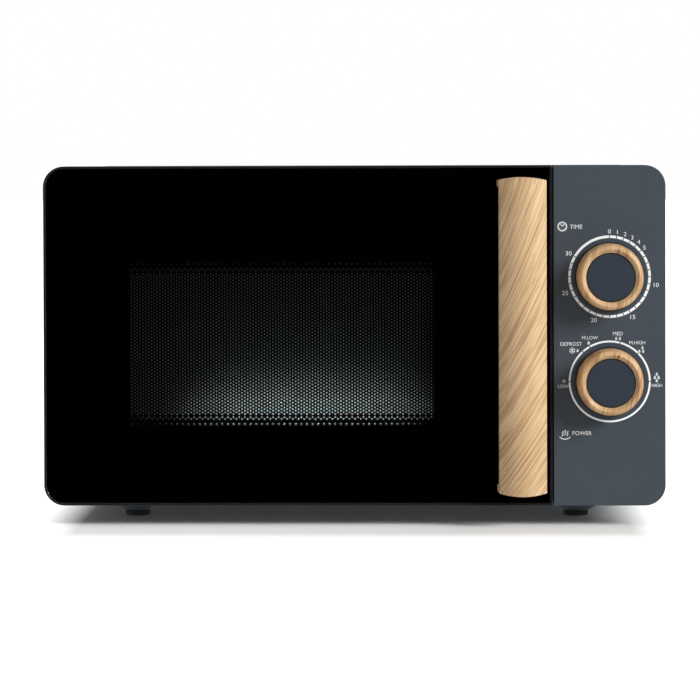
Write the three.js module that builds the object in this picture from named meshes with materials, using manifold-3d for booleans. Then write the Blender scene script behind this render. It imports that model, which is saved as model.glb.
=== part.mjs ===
// A countertop microwave oven of 20 litres: side-hinged glass door with a bar handle, two rotary controls,
// glass turntable, and the steel cavity, magnetron, transformer and fan inside its painted cabinet.
// Frame: +X to the right, +Y to the back, +Z up, in millimetres. The origin is on the surface that the feet
// stand on, under the middle of the oven's box.

import * as THREE from "three";
import { mergeVertices } from "three/addons/utils/BufferGeometryUtils.js";
import Module from "manifold-3d";

// ---- Driving dimensions ---------------------------------------------------------------------------------

const WIDTH = 452;
const HEIGHT = 262;
const DEPTH = 350; // handle and rear vent boss included
const HANDLE_REACH = 24; // how far the handle stands out of the door's face
const VENT_BOSS = 6; // how far the rear panel's vent boss stands out, which keeps the oven off the wall
const UNDER = 15; // from the floor to the lower edge of the door and panel
const FRONT_CORNER = 15; // radius of the front's four outer corners
const PANEL_WIDTH = 81.1;
const DOOR_GAP = 0.9; // between the door and the control panel
const DOOR_THICK = 24;
const SHEET = 0.8; // sheet steel
const FIT = 0.3; // gap left between pieces that touch
const CAVITY = { width: 315, height: 198, depth: 285, midX: -52, floorZ: 38.8 };
// The see-through part of the door, from the door's lower left corner.
const WINDOW = { x0: 65, x1: 283, z0: 59, z1: 175.6 };
const HINGE = { x: 5, y: 19, pin: 2, bore: 2.15 }; // the door's axis, from the door's left edge and face
// Timer knob above power knob. The wooden ring stands in front of a slightly wider skirt.
const KNOB = { z: [181.2, 105.2], reach: 20.2, outer: 24.2, inner: 17.8, skirt: 25.1 };
const LATCH_TRAVEL = 3; // how far the latch lifts to let the door go
const HOOK_Z = [185, 55]; // lower edge of each latch hook, from the door's lower edge
const SHAFT = 2.95;
const TURNTABLE_RADIUS = 127.5;
const ROLLER = { radius: 7, track: 100 }; // roller radius, and how far from the centre it runs
const POINTER = 15; // degrees clockwise from the top that both knobs point to

// ---- Derived places -------------------------------------------------------------------------------------

const FACE_Y = -DEPTH / 2 + HANDLE_REACH;
const REAR_Y = DEPTH / 2 - VENT_BOSS;
const FRONT_HEIGHT = HEIGHT - UNDER;
const DOOR_WIDTH = WIDTH - PANEL_WIDTH - DOOR_GAP;
const PANEL_LEFT = WIDTH / 2 - PANEL_WIDTH;
const FRAME_Y = FACE_Y + DOOR_THICK + 1.3; // front face of the steel plate that the door shuts against
const BODY_Y = FRAME_Y + SHEET + FIT; // where the cavity and the cover start, behind that plate
const CAVITY_LEFT = CAVITY.midX - CAVITY.width / 2;
const CAVITY_RIGHT = CAVITY.midX + CAVITY.width / 2;
const CAVITY_BACK = BODY_Y + CAVITY.depth;
const CAVITY_TOP = CAVITY.floorZ + CAVITY.height;

// ---- Solids ---------------------------------------------------------------------------------------------

const wasm = await Module();
wasm.setup();

function solidOf(geometry) {
  const bare = geometry.clone();
  bare.deleteAttribute("normal");
  bare.deleteAttribute("uv");
  const merged = mergeVertices(bare, 1e-4);
  return new wasm.Manifold(
    new wasm.Mesh({
      numProp: 3,
      vertProperties: merged.attributes.position.array,
      triVerts: new Uint32Array(merged.index.array),
    }),
  );
}

function geometryOf(solid) {
  const mesh = solid.getMesh();
  return new THREE.BufferGeometry()
    .setAttribute("position", new THREE.BufferAttribute(mesh.vertProperties, 3))
    .setIndex(new THREE.BufferAttribute(mesh.triVerts, 1));
}

const join = (...geometries) => geometryOf(geometries.map(solidOf).reduce((all, next) => all.add(next)));
const cut = (geometry, ...tools) =>
  geometryOf(tools.map(solidOf).reduce((left, tool) => left.subtract(tool), solidOf(geometry)));
const common = (a, b) => geometryOf(solidOf(a).intersect(solidOf(b)));

function box(x0, x1, y0, y1, z0, z1) {
  const block = new THREE.BoxGeometry(x1 - x0, y1 - y0, z1 - z0);
  return block.translate((x0 + x1) / 2, (y0 + y1) / 2, (z0 + z1) / 2);
}

const rodY = (radius, y0, y1, x = 0, z = 0, sides = 24) =>
  new THREE.CylinderGeometry(radius, radius, y1 - y0, sides).translate(x, (y0 + y1) / 2, z);
const rodZ = (radius, z0, z1, x = 0, y = 0, sides = 24) =>
  new THREE.CylinderGeometry(radius, radius, z1 - z0, sides)
    .rotateX(Math.PI / 2)
    .translate(x, y, (z0 + z1) / 2);
const rodX = (radius, x0, x1, y = 0, z = 0, sides = 24) =>
  new THREE.CylinderGeometry(radius, radius, x1 - x0, sides)
    .rotateZ(Math.PI / 2)
    .translate((x0 + x1) / 2, y, z);

// A profile of [radius, height] points turned around the Z axis.
// It is made to run anticlockwise, so that its faces point out.
function turned(profile, sides = 32) {
  const area = profile.reduce((sum, [r, h], i) => {
    const [nextR, nextH] = profile[(i + 1) % profile.length];
    return sum + r * nextH - nextR * h;
  }, 0);
  const points = profile.map(([r, h]) => new THREE.Vector2(r, h));
  if (area < 0) points.reverse();
  if (profile[0][0] > 0) points.push(points[0].clone());
  return new THREE.LatheGeometry(points, sides).rotateX(Math.PI / 2);
}

// A rectangle whose corners have their own radii: lower left, lower right, upper right and upper left.
function roundedRect(x0, x1, z0, z1, radii = [0, 0, 0, 0]) {
  const [ll, lr, ur, ul] = radii;
  const shape = new THREE.Shape();
  shape.moveTo(x0 + ll, z0);
  shape.lineTo(x1 - lr, z0);
  if (lr) shape.absarc(x1 - lr, z0 + lr, lr, -Math.PI / 2, 0);
  shape.lineTo(x1, z1 - ur);
  if (ur) shape.absarc(x1 - ur, z1 - ur, ur, 0, Math.PI / 2);
  shape.lineTo(x0 + ul, z1);
  if (ul) shape.absarc(x0 + ul, z1 - ul, ul, Math.PI / 2, Math.PI);
  shape.lineTo(x0, z0 + ll);
  if (ll) shape.absarc(x0 + ll, z0 + ll, ll, Math.PI, 1.5 * Math.PI);
  return shape;
}

const extruded = (shape, depth, curveSegments) =>
  new THREE.ExtrudeGeometry(shape, { depth, curveSegments, bevelEnabled: false });
// A shape drawn in X and Z, from y0 back to y1.
const slabY = (shape, y0, y1, curveSegments = 6) =>
  extruded(shape, y1 - y0, curveSegments).rotateX(Math.PI / 2).translate(0, y1, 0);
// A shape drawn in X and Y, from z0 up to z1.
const slabZ = (shape, z0, z1, curveSegments = 6) =>
  extruded(shape, z1 - z0, curveSegments).translate(0, 0, z0);

// ---- Materials ------------------------------------------------------------------------------------------

const finish = (color, roughness, metalness) =>
  new THREE.MeshStandardMaterial({ color, roughness, metalness });
const MATERIAL = {
  slatePaint: finish(0x48505a, 0.45, 0.2),
  slatePlastic: finish(0x474f59, 0.5, 0),
  blackPlastic: finish(0x101112, 0.4, 0),
  blackGlass: finish(0x050505, 0.05, 0),
  wood: finish(0xd2ab7a, 0.5, 0),
  cavityEnamel: finish(0xb9bcbc, 0.35, 0.1),
  zincSteel: finish(0xa9adb0, 0.35, 1),
  blackSteel: finish(0x16181a, 0.5, 0.6),
  clearGlass: finish(0xdfe9ea, 0.03, 0),
  copper: finish(0xb4683a, 0.4, 1),
  aluminium: finish(0xc8cbce, 0.3, 1),
  whitePlastic: finish(0xe4e2da, 0.5, 0),
  rubber: finish(0x0c0c0c, 0.8, 0),
  mica: finish(0xa99f88, 0.6, 0),
  board: finish(0x7a5b2c, 0.6, 0),
};

const oven = new THREE.Group();

function group(x, y, z, parent = oven) {
  const made = new THREE.Group();
  made.position.set(x, y, z);
  parent.add(made);
  return made;
}

function add(parent, name, geometry, material) {
  const mesh = new THREE.Mesh(geometry, material);
  mesh.name = name;
  parent.add(mesh);
}

// A row of upright slots through a wall that is flat in Y (or in X, where across is true).
function slots({ count, pitch, from, z0, z1, width, wall, across = false }) {
  return Array.from({ length: count }, (_, i) => {
    const at = from + i * pitch;
    const [w0, w1] = wall;
    return across ? box(w0, w1, at, at + width, z0, z1) : box(at, at + width, w0, w1, z0, z1);
  });
}

// ---- Cabinet: cover, rear panel, base plate and feet ----------------------------------------------------

const COVER = { inset: 1.5, corner: 13.5, lip: 20 };
const COVER_BOTTOM = UNDER + SHEET;

function makeCover() {
  const half = WIDTH / 2 - COVER.inset;
  const top = HEIGHT - COVER.inset;
  const outer = roundedRect(-half, half, COVER_BOTTOM, top, Array(4).fill(COVER.corner));
  const inner = roundedRect(
    -half + SHEET, half - SHEET, COVER_BOTTOM + SHEET, top - SHEET, Array(4).fill(COVER.corner - SHEET),
  );
  const gap = half - COVER.lip;
  const rightVents = slots({
    count: 8, pitch: 9, from: 6, z0: 150, z1: 200, width: 3, wall: [half - 2, half + 2], across: true,
  });
  const leftVents = slots({
    count: 6, pitch: 9, from: 100, z0: 40, z1: 75, width: 3, wall: [-half - 2, -half + 2], across: true,
  });
  add(oven, "outer_cover", cut(
    slabY(outer, BODY_Y, REAR_Y),
    slabY(inner, BODY_Y - 1, REAR_Y + 1),
    box(-gap, gap, BODY_Y - 1, REAR_Y + 1, 0, COVER_BOTTOM + 2),
    ...rightVents,
    ...leftVents,
  ), MATERIAL.slatePaint);
}

const FAN = { x: 166, y: 155.8, z: 160, blade: 44 };
const CORD = { x: 186, z: 62, bore: 4, body: 7 };

function makeRearPanel() {
  const half = WIDTH / 2 - COVER.inset - SHEET - FIT;
  const outline = roundedRect(
    -half, half, COVER_BOTTOM + SHEET + FIT, HEIGHT - COVER.inset - SHEET - FIT,
    Array(4).fill(COVER.corner - SHEET - FIT),
  );
  const boss = { x0: FAN.x - 48, x1: FAN.x + 44, z0: FAN.z - 48, z1: FAN.z + 48, slope: 8 };
  const frustum = (shrink, y0, y1) => {
    const [farWidth, farHeight] = [boss.x1 - boss.x0 - 2 * shrink, boss.z1 - boss.z0 - 2 * shrink];
    const far = new THREE.BoxGeometry(farWidth, y1 - y0, farHeight);
    const corners = far.attributes.position;
    for (let i = 0; i < corners.count; i += 1) {
      if (corners.getY(i) < 0) continue;
      corners.setX(i, corners.getX(i) - Math.sign(corners.getX(i)) * boss.slope);
      corners.setZ(i, corners.getZ(i) - Math.sign(corners.getZ(i)) * boss.slope);
    }
    return far.translate((boss.x0 + boss.x1) / 2, (y0 + y1) / 2, (boss.z0 + boss.z1) / 2);
  };
  const fanVents = [0, 1].flatMap((row) => slots({
    count: 8, pitch: 9, from: FAN.x - 35, width: 3.4, wall: [REAR_Y, REAR_Y + VENT_BOSS + 2],
    z0: FAN.z - 36 + row * 38, z1: FAN.z - 2 + row * 38,
  }));
  const steamVents = slots({
    count: 9, pitch: 9, from: -180, z0: 205, z1: 235, width: 3.4, wall: [REAR_Y - 3, REAR_Y + 3],
  });
  const shell = join(
    slabY(outline, REAR_Y - SHEET, REAR_Y),
    frustum(0, REAR_Y - SHEET / 2, REAR_Y + VENT_BOSS),
  );
  add(oven, "rear_panel", cut(
    shell,
    frustum(1.5, REAR_Y - SHEET - 1, REAR_Y + VENT_BOSS - SHEET),
    ...fanVents,
    ...steamVents,
    rodY(CORD.body + FIT, REAR_Y - 3, REAR_Y + 3, CORD.x, CORD.z),
  ), MATERIAL.slatePaint);
  const bush = [
    [CORD.bore, -6], [CORD.body, -6], [CORD.body, FIT], [CORD.body + 3, FIT],
    [CORD.body + 3, 2], [CORD.body - 1, 4.5], [CORD.bore, 4.5],
  ];
  const bushPlace = group(CORD.x, REAR_Y, CORD.z);
  add(bushPlace, "cord_bush", turned(bush, 20).rotateX(-Math.PI / 2), MATERIAL.blackPlastic);
}

const FOOT = { x: 164, frontY: -80, rearY: 130, cup: 4.3, stem: 4, hole: 4.4 };

function makeBase() {
  const half = WIDTH / 2 - COVER.inset - COVER.lip - 0.4;
  const z0 = COVER_BOTTOM;
  const z1 = z0 + SHEET;
  const cup = { top: 28, foot: 11.4, floor: 0.9 };
  // A pressed cup, seen in section: it hangs under the plate and a foot plugs into its floor.
  const cupProfile = [
    [FOOT.hole, FOOT.cup], [cup.foot, FOOT.cup], [cup.top, z0], [cup.top, z1],
    [cup.top - 1, z1], [cup.foot - 0.6, FOOT.cup + cup.floor], [FOOT.hole, FOOT.cup + cup.floor],
  ];
  const footProfile = [
    [0, 0], [8.7, 0], [9.5, 0.8], [9.5, FOOT.cup - FIT], [FOOT.stem, FOOT.cup - FIT],
    [FOOT.stem, FOOT.cup + cup.floor + FIT], [6.4, FOOT.cup + cup.floor + FIT], [5, 8.4], [0, 8.4],
  ];
  const places = [
    ["foot_front_left", -FOOT.x, FOOT.frontY], ["foot_front_right", FOOT.x, FOOT.frontY],
    ["foot_rear_left", -FOOT.x, FOOT.rearY], ["foot_rear_right", FOOT.x, FOOT.rearY],
  ];
  const plate = cut(
    box(-half, half, BODY_Y, REAR_Y - SHEET - FIT, z0, z1),
    ...places.map(([, x, y]) => rodZ(cup.top - 0.6, z0 - 1, z1 + 1, x, y, 16)),
    ...Array.from({ length: 10 }, (_, i) => box(120 + i * 6, 123 + i * 6, 20, 60, z0 - 1, z1 + 1)),
  );
  const cups = places.map(([, x, y]) => turned(cupProfile, 16).translate(x, y, 0));
  add(oven, "base_plate", join(plate, ...cups), MATERIAL.slatePaint);
  for (const [name, x, y] of places) add(group(x, y, 0), name, turned(footProfile, 16), MATERIAL.rubber);
}

// ---- Cavity and the plate that the door shuts against ---------------------------------------------------

const PORT = { y0: -10, y1: 40, z0: 122, z1: 162 }; // where the waveguide opens into the cavity
const LAMP = { y: 92, z: 208 };

function makeCavity() {
  const [x0, x1] = [CAVITY_LEFT, CAVITY_RIGHT];
  const [z0, z1] = [CAVITY.floorZ, CAVITY_TOP];
  const bend = 6;
  const outer = roundedRect(x0 - SHEET, x1 + SHEET, z0 - SHEET, z1, [bend + SHEET, bend + SHEET, 0, 0]);
  const inner = roundedRect(x0, x1, z0, z1 + 9, [bend, bend, 0, 0]);
  const midY = BODY_Y + CAVITY.depth / 2;
  const lampHoles = [-1, 0, 1].flatMap((row) => [-1, 0, 1].map((column) =>
    rodX(2.2, x1 - 3, x1 + 3, LAMP.y + column * 7, LAMP.z + row * 7, 8)));
  add(oven, "cavity_liner", cut(
    slabY(outer, BODY_Y, CAVITY_BACK, 4),
    slabY(inner, BODY_Y - 1, CAVITY_BACK + 1, 4),
    rodZ(9, z0 - 3, z0 + 3, CAVITY.midX, midY),
    box(x1 - 3, x1 + 3, PORT.y0, PORT.y1, PORT.z0, PORT.z1),
    ...lampHoles,
  ), MATERIAL.cavityEnamel);
  add(oven, "cavity_ceiling", box(x0 - SHEET, x1 + SHEET, BODY_Y, CAVITY_BACK, z1 + FIT, z1 + FIT + SHEET),
    MATERIAL.cavityEnamel);
  const steamHoles = Array.from({ length: 10 }, (_, i) =>
    rodY(2.2, CAVITY_BACK - 1, CAVITY_BACK + 3, x0 + 50 + i * 8, z1 - 18, 8));
  add(oven, "cavity_rear_wall", cut(
    box(x0 - SHEET, x1 + SHEET, CAVITY_BACK + FIT, CAVITY_BACK + FIT + SHEET, z0 - SHEET, z1 + FIT + SHEET),
    ...steamHoles,
  ), MATERIAL.cavityEnamel);
  add(oven, "waveguide_cover",
    box(x1 - 0.9, x1 - FIT, PORT.y0 - 12, PORT.y1 + 12, PORT.z0 - 10, PORT.z1 + 10),
    MATERIAL.mica);
}

// The z values are the lower faces of the hinge tongues, from the door's lower edge.
const HINGE_PLATE = { thick: 2.4, z: [223, 21] };
const HOOK = { x0: 350.5, x1: 355.5, height: 10, tip: 45, barb: 3 };

function makeFrontFrame() {
  const inside = 2.5;
  const left = -WIDTH / 2 + inside;
  const right = PANEL_LEFT - DOOR_GAP - 0.5;
  const corner = FRONT_CORNER - inside;
  const outline = roundedRect(left, right, UNDER + inside, HEIGHT - inside, [corner, 0, 0, corner]);
  const hookSlots = HOOK_Z.map((z) => box(
    HOOK.x0 - WIDTH / 2 - 2, HOOK.x1 - WIDTH / 2 + 2.5, FRAME_Y - 1, FRAME_Y + 3,
    UNDER + z - HOOK.barb - 1, UNDER + z + HOOK.height + LATCH_TRAVEL + 1,
  ));
  const hingeSlots = HINGE_PLATE.z.map((z) => box(
    left - 1, left + 11.5, FRAME_Y - 1, FRAME_Y + 3, UNDER + z - FIT, UNDER + z + HINGE_PLATE.thick + FIT,
  ));
  add(oven, "front_frame", cut(
    slabY(outline, FRAME_Y, FRAME_Y + SHEET),
    box(CAVITY_LEFT, CAVITY_RIGHT, FRAME_Y - 1, FRAME_Y + 3, CAVITY.floorZ, CAVITY_TOP),
    ...hookSlots,
    ...hingeSlots,
  ), MATERIAL.cavityEnamel);
}

// Each hinge is a leaf behind the front plate, a tongue that reaches forward through it, and an upright pin.
function makeHinges() {
  const axisX = -WIDTH / 2 + HINGE.x;
  const axisY = FACE_Y + HINGE.y;
  ["upper_hinge", "lower_hinge"].forEach((name, i) => {
    const hinge = group(axisX, axisY, UNDER + HINGE_PLATE.z[i]);
    const leafY = BODY_Y - axisY;
    const tongue = join(
      rodZ(4, 0, HINGE_PLATE.thick),
      box(-2, 4, 0, leafY + 2, 0, HINGE_PLATE.thick),
      box(-2, 9.2, leafY, leafY + 2, -9, 9),
      rodZ(HINGE.pin, HINGE_PLATE.thick / 2, HINGE_PLATE.thick + 8, 0, 0, 24),
    );
    add(hinge, name, tongue, MATERIAL.zincSteel);
  });
}

// ---- Turntable ------------------------------------------------------------------------------------------

const TRAY = { bottom: 14.7, thick: 4, flat: 104, rim: 13.5 }; // heights above the cavity floor

function makeTurntable() {
  const table = group(CAVITY.midX, BODY_Y + CAVITY.depth / 2, CAVITY.floorZ);
  const motorTop = -SHEET - FIT;
  add(table, "turntable_motor", cut(
    join(rodZ(25, motorTop - 15, motorTop), box(-31, 31, -6, 6, motorTop - 2, motorTop)),
    rodZ(4, motorTop - 8, 3, 0, 0, 16),
  ), MATERIAL.zincSteel);

  const lobes = [0, 1, 2].map((i) => box(0, 17, -3.5, 3.5, 6, 11).rotateZ((i * 2 * Math.PI) / 3));
  add(table, "turntable_coupler", join(
    rodZ(3.4, motorTop - 7, 1, 0, 0, 16),
    rodZ(7.5, 0.4, 6.5, 0, 0, 20),
    rodZ(9.5, 6, 13.5, 0, 0, 20),
    ...lobes,
  ), MATERIAL.whitePlastic);

  const [r0, r1] = [ROLLER.track - 14, ROLLER.track - 7];
  const axleZ = ROLLER.radius + 0.3;
  const ring = turned([[r0, axleZ - 3], [r1, axleZ - 3], [r1, axleZ + 3], [r0, axleZ + 3]], 36);
  const axles = [0, 1, 2].map((i) =>
    rodX(1.6, r1 - 1, ROLLER.track + 5, 0, axleZ, 12).rotateZ((i * 2 * Math.PI) / 3));
  add(table, "roller_ring", join(ring, ...axles), MATERIAL.whitePlastic);

  [0, 1, 2].forEach((i) => {
    const arm = group(0, 0, 0, table);
    arm.rotation.z = (i * 2 * Math.PI) / 3;
    const half = 3;
    add(arm, `roller_${i + 1}`, cut(
      rodX(ROLLER.radius, ROLLER.track - half, ROLLER.track + half, 0, axleZ, 24),
      rodX(1.75, ROLLER.track - 9, ROLLER.track + 9, 0, axleZ, 12),
    ), MATERIAL.whitePlastic);
  });

  const { bottom, thick, flat, rim } = TRAY;
  const edge = TURNTABLE_RADIUS;
  add(table, "glass_turntable", turned([
    [0, bottom], [flat, bottom], [flat + 14, bottom + 3], [edge, bottom + rim - 2], [edge, bottom + rim],
    [edge - 3, bottom + rim], [flat + 11, bottom + 3 + thick], [flat - 1, bottom + thick],
    [0, bottom + thick],
  ], 40), MATERIAL.clearGlass);
}

// ---- Door -----------------------------------------------------------------------------------------------
// Everything in the door is placed from its lower left front corner: x to the right, y into the door, z up.

const DOOR = { wall: 2.5, rim: 1.4, glass: 3, web: [3.4, 6], rear: 22.6 };
const HANDLE = { x0: 331.2, x1: 365.3, z0: 8.8, z1: 238.5, cheek: 17, bulge: 7, arc: [1.3, 2.6] };
const HANDLE_SCREW = { x: 359.8, z: [36, 211], radius: 2, hole: 2.4 };

const doorOutline = (inset, leftCorner = FRONT_CORNER - inset, rightCorner = 2) =>
  roundedRect(inset, DOOR_WIDTH - inset, inset, FRONT_HEIGHT - inset,
    [leftCorner, rightCorner, rightCorner, leftCorner]);
const aroundWindow = (margin, y0, y1) =>
  box(WINDOW.x0 - margin, WINDOW.x1 + margin, y0, y1, WINDOW.z0 - margin, WINDOW.z1 + margin);
const handleScrewHoles = () =>
  HANDLE_SCREW.z.map((z) => rodY(HANDLE_SCREW.hole, -20, 20, HANDLE_SCREW.x, z, 12));
const hingeBlocks = (grow) => HINGE_PLATE.z.map((z) =>
  box(1 - grow, 12 + grow, 8 - grow, DOOR.rear + grow, z - 8 - grow, z + 17 + grow));

function makeDoorShell(door) {
  const { wall, rim, glass, web, rear } = DOOR;
  const hollow = cut(slabY(doorOutline(wall, FRONT_CORNER - wall, 0.5), web[1], rear + 2), ...hingeBlocks(0));
  const tongueNotches = HINGE_PLATE.z.map((z) =>
    box(-1, 9.7, HINGE.y - 4.6, rear + 2, z - 0.4, z + HINGE_PLATE.thick + 0.4));
  const pinBores = HINGE_PLATE.z.map((z) =>
    rodZ(HINGE.bore, z, z + HINGE_PLATE.thick + 9, HINGE.x, HINGE.y, 24));
  const rearEdge = box(-2, 2, -2, 2, -1, FRONT_HEIGHT + 1)
    .rotateZ(Math.PI / 4)
    .translate(-0.6, rear + 0.6, 0);
  add(door, "door_frame", cut(
    slabY(doorOutline(0), 0, rear),
    slabY(doorOutline(rim, FRONT_CORNER - rim, 1), -1, web[0]),
    hollow,
    aroundWindow(12, -1, rear),
    ...tongueNotches,
    ...pinBores,
    rearEdge,
    ...handleScrewHoles(),
  ), MATERIAL.blackPlastic);

  const pane = slabY(doorOutline(rim + FIT, FRONT_CORNER - rim - FIT, 1), 0.1, 0.1 + glass);
  add(door, "door_glass", cut(pane, ...handleScrewHoles()), MATERIAL.blackGlass);
}

function makeDoorInner(door) {
  const inset = DOOR.wall + 0.4;
  const [y0, y1] = [DOOR.web[1] + FIT, DOOR.web[1] + FIT + SHEET];
  const fence = (margin, reach) => cut(
    slabY(roundedRect(margin, DOOR_WIDTH - margin, margin, FRONT_HEIGHT - margin), y1 - 0.2, reach),
    slabY(
      roundedRect(margin + 1, DOOR_WIDTH - margin - 1, margin + 1, FRONT_HEIGHT - margin - 1),
      y0 - 1, 30,
    ),
  );
  const flat = slabY(doorOutline(inset, FRONT_CORNER - inset, 0.5), y0, y1);
  const pan = join(flat, fence(14.5, 19), fence(26, 20));
  const hookGap = box(HOOK.x0 - 1.5, HOOK.x1 + 1.5, y1, 30, 20, 236);
  add(door, "door_inner_pan", cut(
    pan, aroundWindow(2, 0, 12), ...hingeBlocks(0.4), ...handleScrewHoles(), hookGap,
  ), MATERIAL.blackSteel);
  add(door, "door_screen", aroundWindow(5, y1 + FIT, y1 + FIT + 0.6), MATERIAL.blackSteel);

  const coverY = DOOR.rear - 1.6;
  const hookWindows = HOOK_Z.map((z) =>
    box(HOOK.x0 - 1, HOOK.x1 + 1, coverY - 1, coverY + 5, z - 4, z + HOOK.height + LATCH_TRAVEL + 1));
  const tunnel = cut(aroundWindow(16, y1 + 2, coverY + 0.5), aroundWindow(14.4, 0, 40));
  add(door, "door_choke_cover", cut(
    join(slabY(doorOutline(inset, FRONT_CORNER - inset, 0.5), coverY, coverY + 1.8), tunnel),
    aroundWindow(14.4, 0, 40),
    ...hingeBlocks(0.4),
    ...hookWindows,
  ), MATERIAL.blackPlastic);
}

function makeHandle(door) {
  const { x0, x1, z0, z1, cheek, bulge, arc } = HANDLE;
  const mid = (x0 + x1) / 2;
  const section = new THREE.Shape();
  section.moveTo(x0 - 1.3, -FIT);
  section.lineTo(x0 - 0.3, -cheek + 2);
  section.quadraticCurveTo(x0, -cheek, x0 + 1.5, -cheek - 1);
  section.quadraticCurveTo(mid, -cheek - 2 * bulge + 1, x1 - 1.5, -cheek - 1);
  section.quadraticCurveTo(x1, -cheek, x1, -cheek + 2);
  section.lineTo(x1, -FIT);
  const face = new THREE.Shape();
  face.moveTo(x0 - 2, z0 + arc[0]);
  face.quadraticCurveTo(mid, z0 - arc[0], x1 + 1, z0 + arc[0]);
  face.lineTo(x1 + 1, z1 - arc[1]);
  face.quadraticCurveTo(mid, z1 + arc[1], x0 - 2, z1 - arc[1]);
  const bar = common(slabZ(section, z0 - 5, z1 + 5, 8), slabY(face, -40, 5, 8));
  const pocket = box(x0 - 5, x0 + 22, -cheek + 5, 1, z0 + 6.3, z1 - 6.3);
  add(door, "door_handle", cut(bar, pocket,
    ...HANDLE_SCREW.z.map((z) => rodY(HANDLE_SCREW.hole, -12, 20, HANDLE_SCREW.x, z, 12)),
  ), MATERIAL.wood);
  const headY = DOOR.web[1] + FIT + SHEET + FIT;
  ["handle_screw_upper", "handle_screw_lower"].forEach((name, i) => {
    const shank = rodY(HANDLE_SCREW.radius, -11.5, headY + 1, 0, 0, 12);
    const screw = join(shank, rodY(3.6, headY, headY + 2.4, 0, 0, 16));
    add(group(HANDLE_SCREW.x, 0, HANDLE_SCREW.z[1 - i], door), name, screw, MATERIAL.zincSteel);
  });
}

function makeLatch(door) {
  const { x0, x1, height, tip, barb } = HOOK;
  const barTop = 228;
  const bar = box(x0, x1, 9, 16, 44, barTop);
  const hooks = HOOK_Z.flatMap((z) => [
    box(x0, x1, 15, tip, z, z + height),
    box(x0, x1, tip - 16, tip - 8, z - barb, z + 1),
  ]);
  add(door, "latch_hooks", join(bar, ...hooks), MATERIAL.blackPlastic);

  // A compression spring between the latch bar and the top of the door keeps the hooks down.
  const spring = { wire: 0.5, radius: 2.6, turns: 6, z0: barTop + FIT, z1: FRONT_HEIGHT - DOOR.wall - FIT };
  const rise = spring.z1 - spring.z0 - 2 * spring.wire;
  const steps = spring.turns * 8;
  const path = new THREE.CatmullRomCurve3(Array.from({ length: steps + 1 }, (_, i) => {
    const turn = (i / steps) * spring.turns * 2 * Math.PI;
    return new THREE.Vector3(
      spring.radius * Math.cos(turn), spring.radius * Math.sin(turn), spring.wire + (rise * i) / steps,
    );
  }));
  const wire = new THREE.Shape().absarc(0, 0, spring.wire, 0, 2 * Math.PI);
  add(group((x0 + x1) / 2, 12.5, spring.z0, door), "latch_spring",
    new THREE.ExtrudeGeometry(wire, { steps, extrudePath: path, curveSegments: 5 }), MATERIAL.zincSteel);
}

// ---- Control panel: moulding, timer unit, shafts and knobs ----------------------------------------------

function makeControls() {
  const panel = group(PANEL_LEFT, FACE_Y, UNDER);
  const mid = PANEL_WIDTH / 2;
  const knobHeights = KNOB.z.map((z) => z - UNDER);
  const wall = 2.5;
  const rear = DOOR_THICK + 1.5;
  const outline = (inset, right) =>
    roundedRect(inset, PANEL_WIDTH - inset, inset, FRONT_HEIGHT - inset, [0.5, right, right, 0.5]);
  add(panel, "control_panel", cut(
    slabY(outline(0, FRONT_CORNER), 0, rear),
    slabY(outline(wall, FRONT_CORNER - wall), wall, rear + 1),
    ...knobHeights.map((z) => rodY(4, -1, 5, mid, z, 20)),
  ), MATERIAL.slatePlastic);

  const housing = { half: 29, y0: wall + 0.7, y1: rear + 2 };
  add(panel, "timer_unit", cut(
    join(
      box(
        mid - housing.half, mid + housing.half, housing.y0, housing.y1,
        knobHeights[1] - 28, knobHeights[0] + 28,
      ),
      rodY(20, housing.y1 - 1, housing.y1 + 12, mid, knobHeights[0], 24),
      rodY(17, housing.y1 - 1, housing.y1 + 7, mid, knobHeights[1], 24),
    ),
    ...knobHeights.map((z) => rodY(3.6, 0, housing.y1 - 4, mid, z, 20)),
  ), MATERIAL.zincSteel);

  ["timer", "power"].forEach((name, i) => {
    const knob = group(mid, 0, knobHeights[i], panel);
    knob.rotation.y = THREE.MathUtils.degToRad(POINTER);
    const { reach, outer, inner, skirt } = KNOB;
    const shaftFlat = box(-5, 5, -13, -3, SHAFT - 0.9, 5);
    const shaft = cut(rodY(SHAFT, -12, housing.y1 - 4.5, 0, 0, 20), shaftFlat);
    add(knob, `${name}_shaft`, shaft, MATERIAL.zincSteel);
    // Knob profiles are [radius, height above the panel], turned about the shaft.
    const ring = [
      [inner, 2.7], [outer, 2.7], [outer, 5], [outer - 0.7, reach - 3], [outer - 1.6, reach - 0.9],
      [outer - 3.2, reach], [inner + 1.8, reach], [inner, reach - 1.6],
    ];
    const front = reach - 1.6;
    const core = [
      [SHAFT + 0.35, 1.5], [6, 1.5], [6, front - 2.5], [inner - 2, front - 2.5], [inner - 2, 1.2],
      [skirt, 1.2], [skirt, 2.4], [inner - FIT, 2.4],
      [inner - FIT, front - 0.3], [inner - 0.6, front], [0, front], [0, 12.6],
      [SHAFT + 0.35, 12.6],
    ];
    const towardsUser = Math.PI / 2;
    add(knob, `${name}_knob_ring`, turned(ring, 32).rotateX(towardsUser), MATERIAL.wood);
    add(knob, `${name}_knob_core`, turned(core, 24).rotateX(towardsUser), MATERIAL.slatePlastic);
  });
}

// ---- Door interlock: bracket and switches ---------------------------------------------------------------

const PLUNGER = { reach: 2.4, travel: 1.5 };

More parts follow.
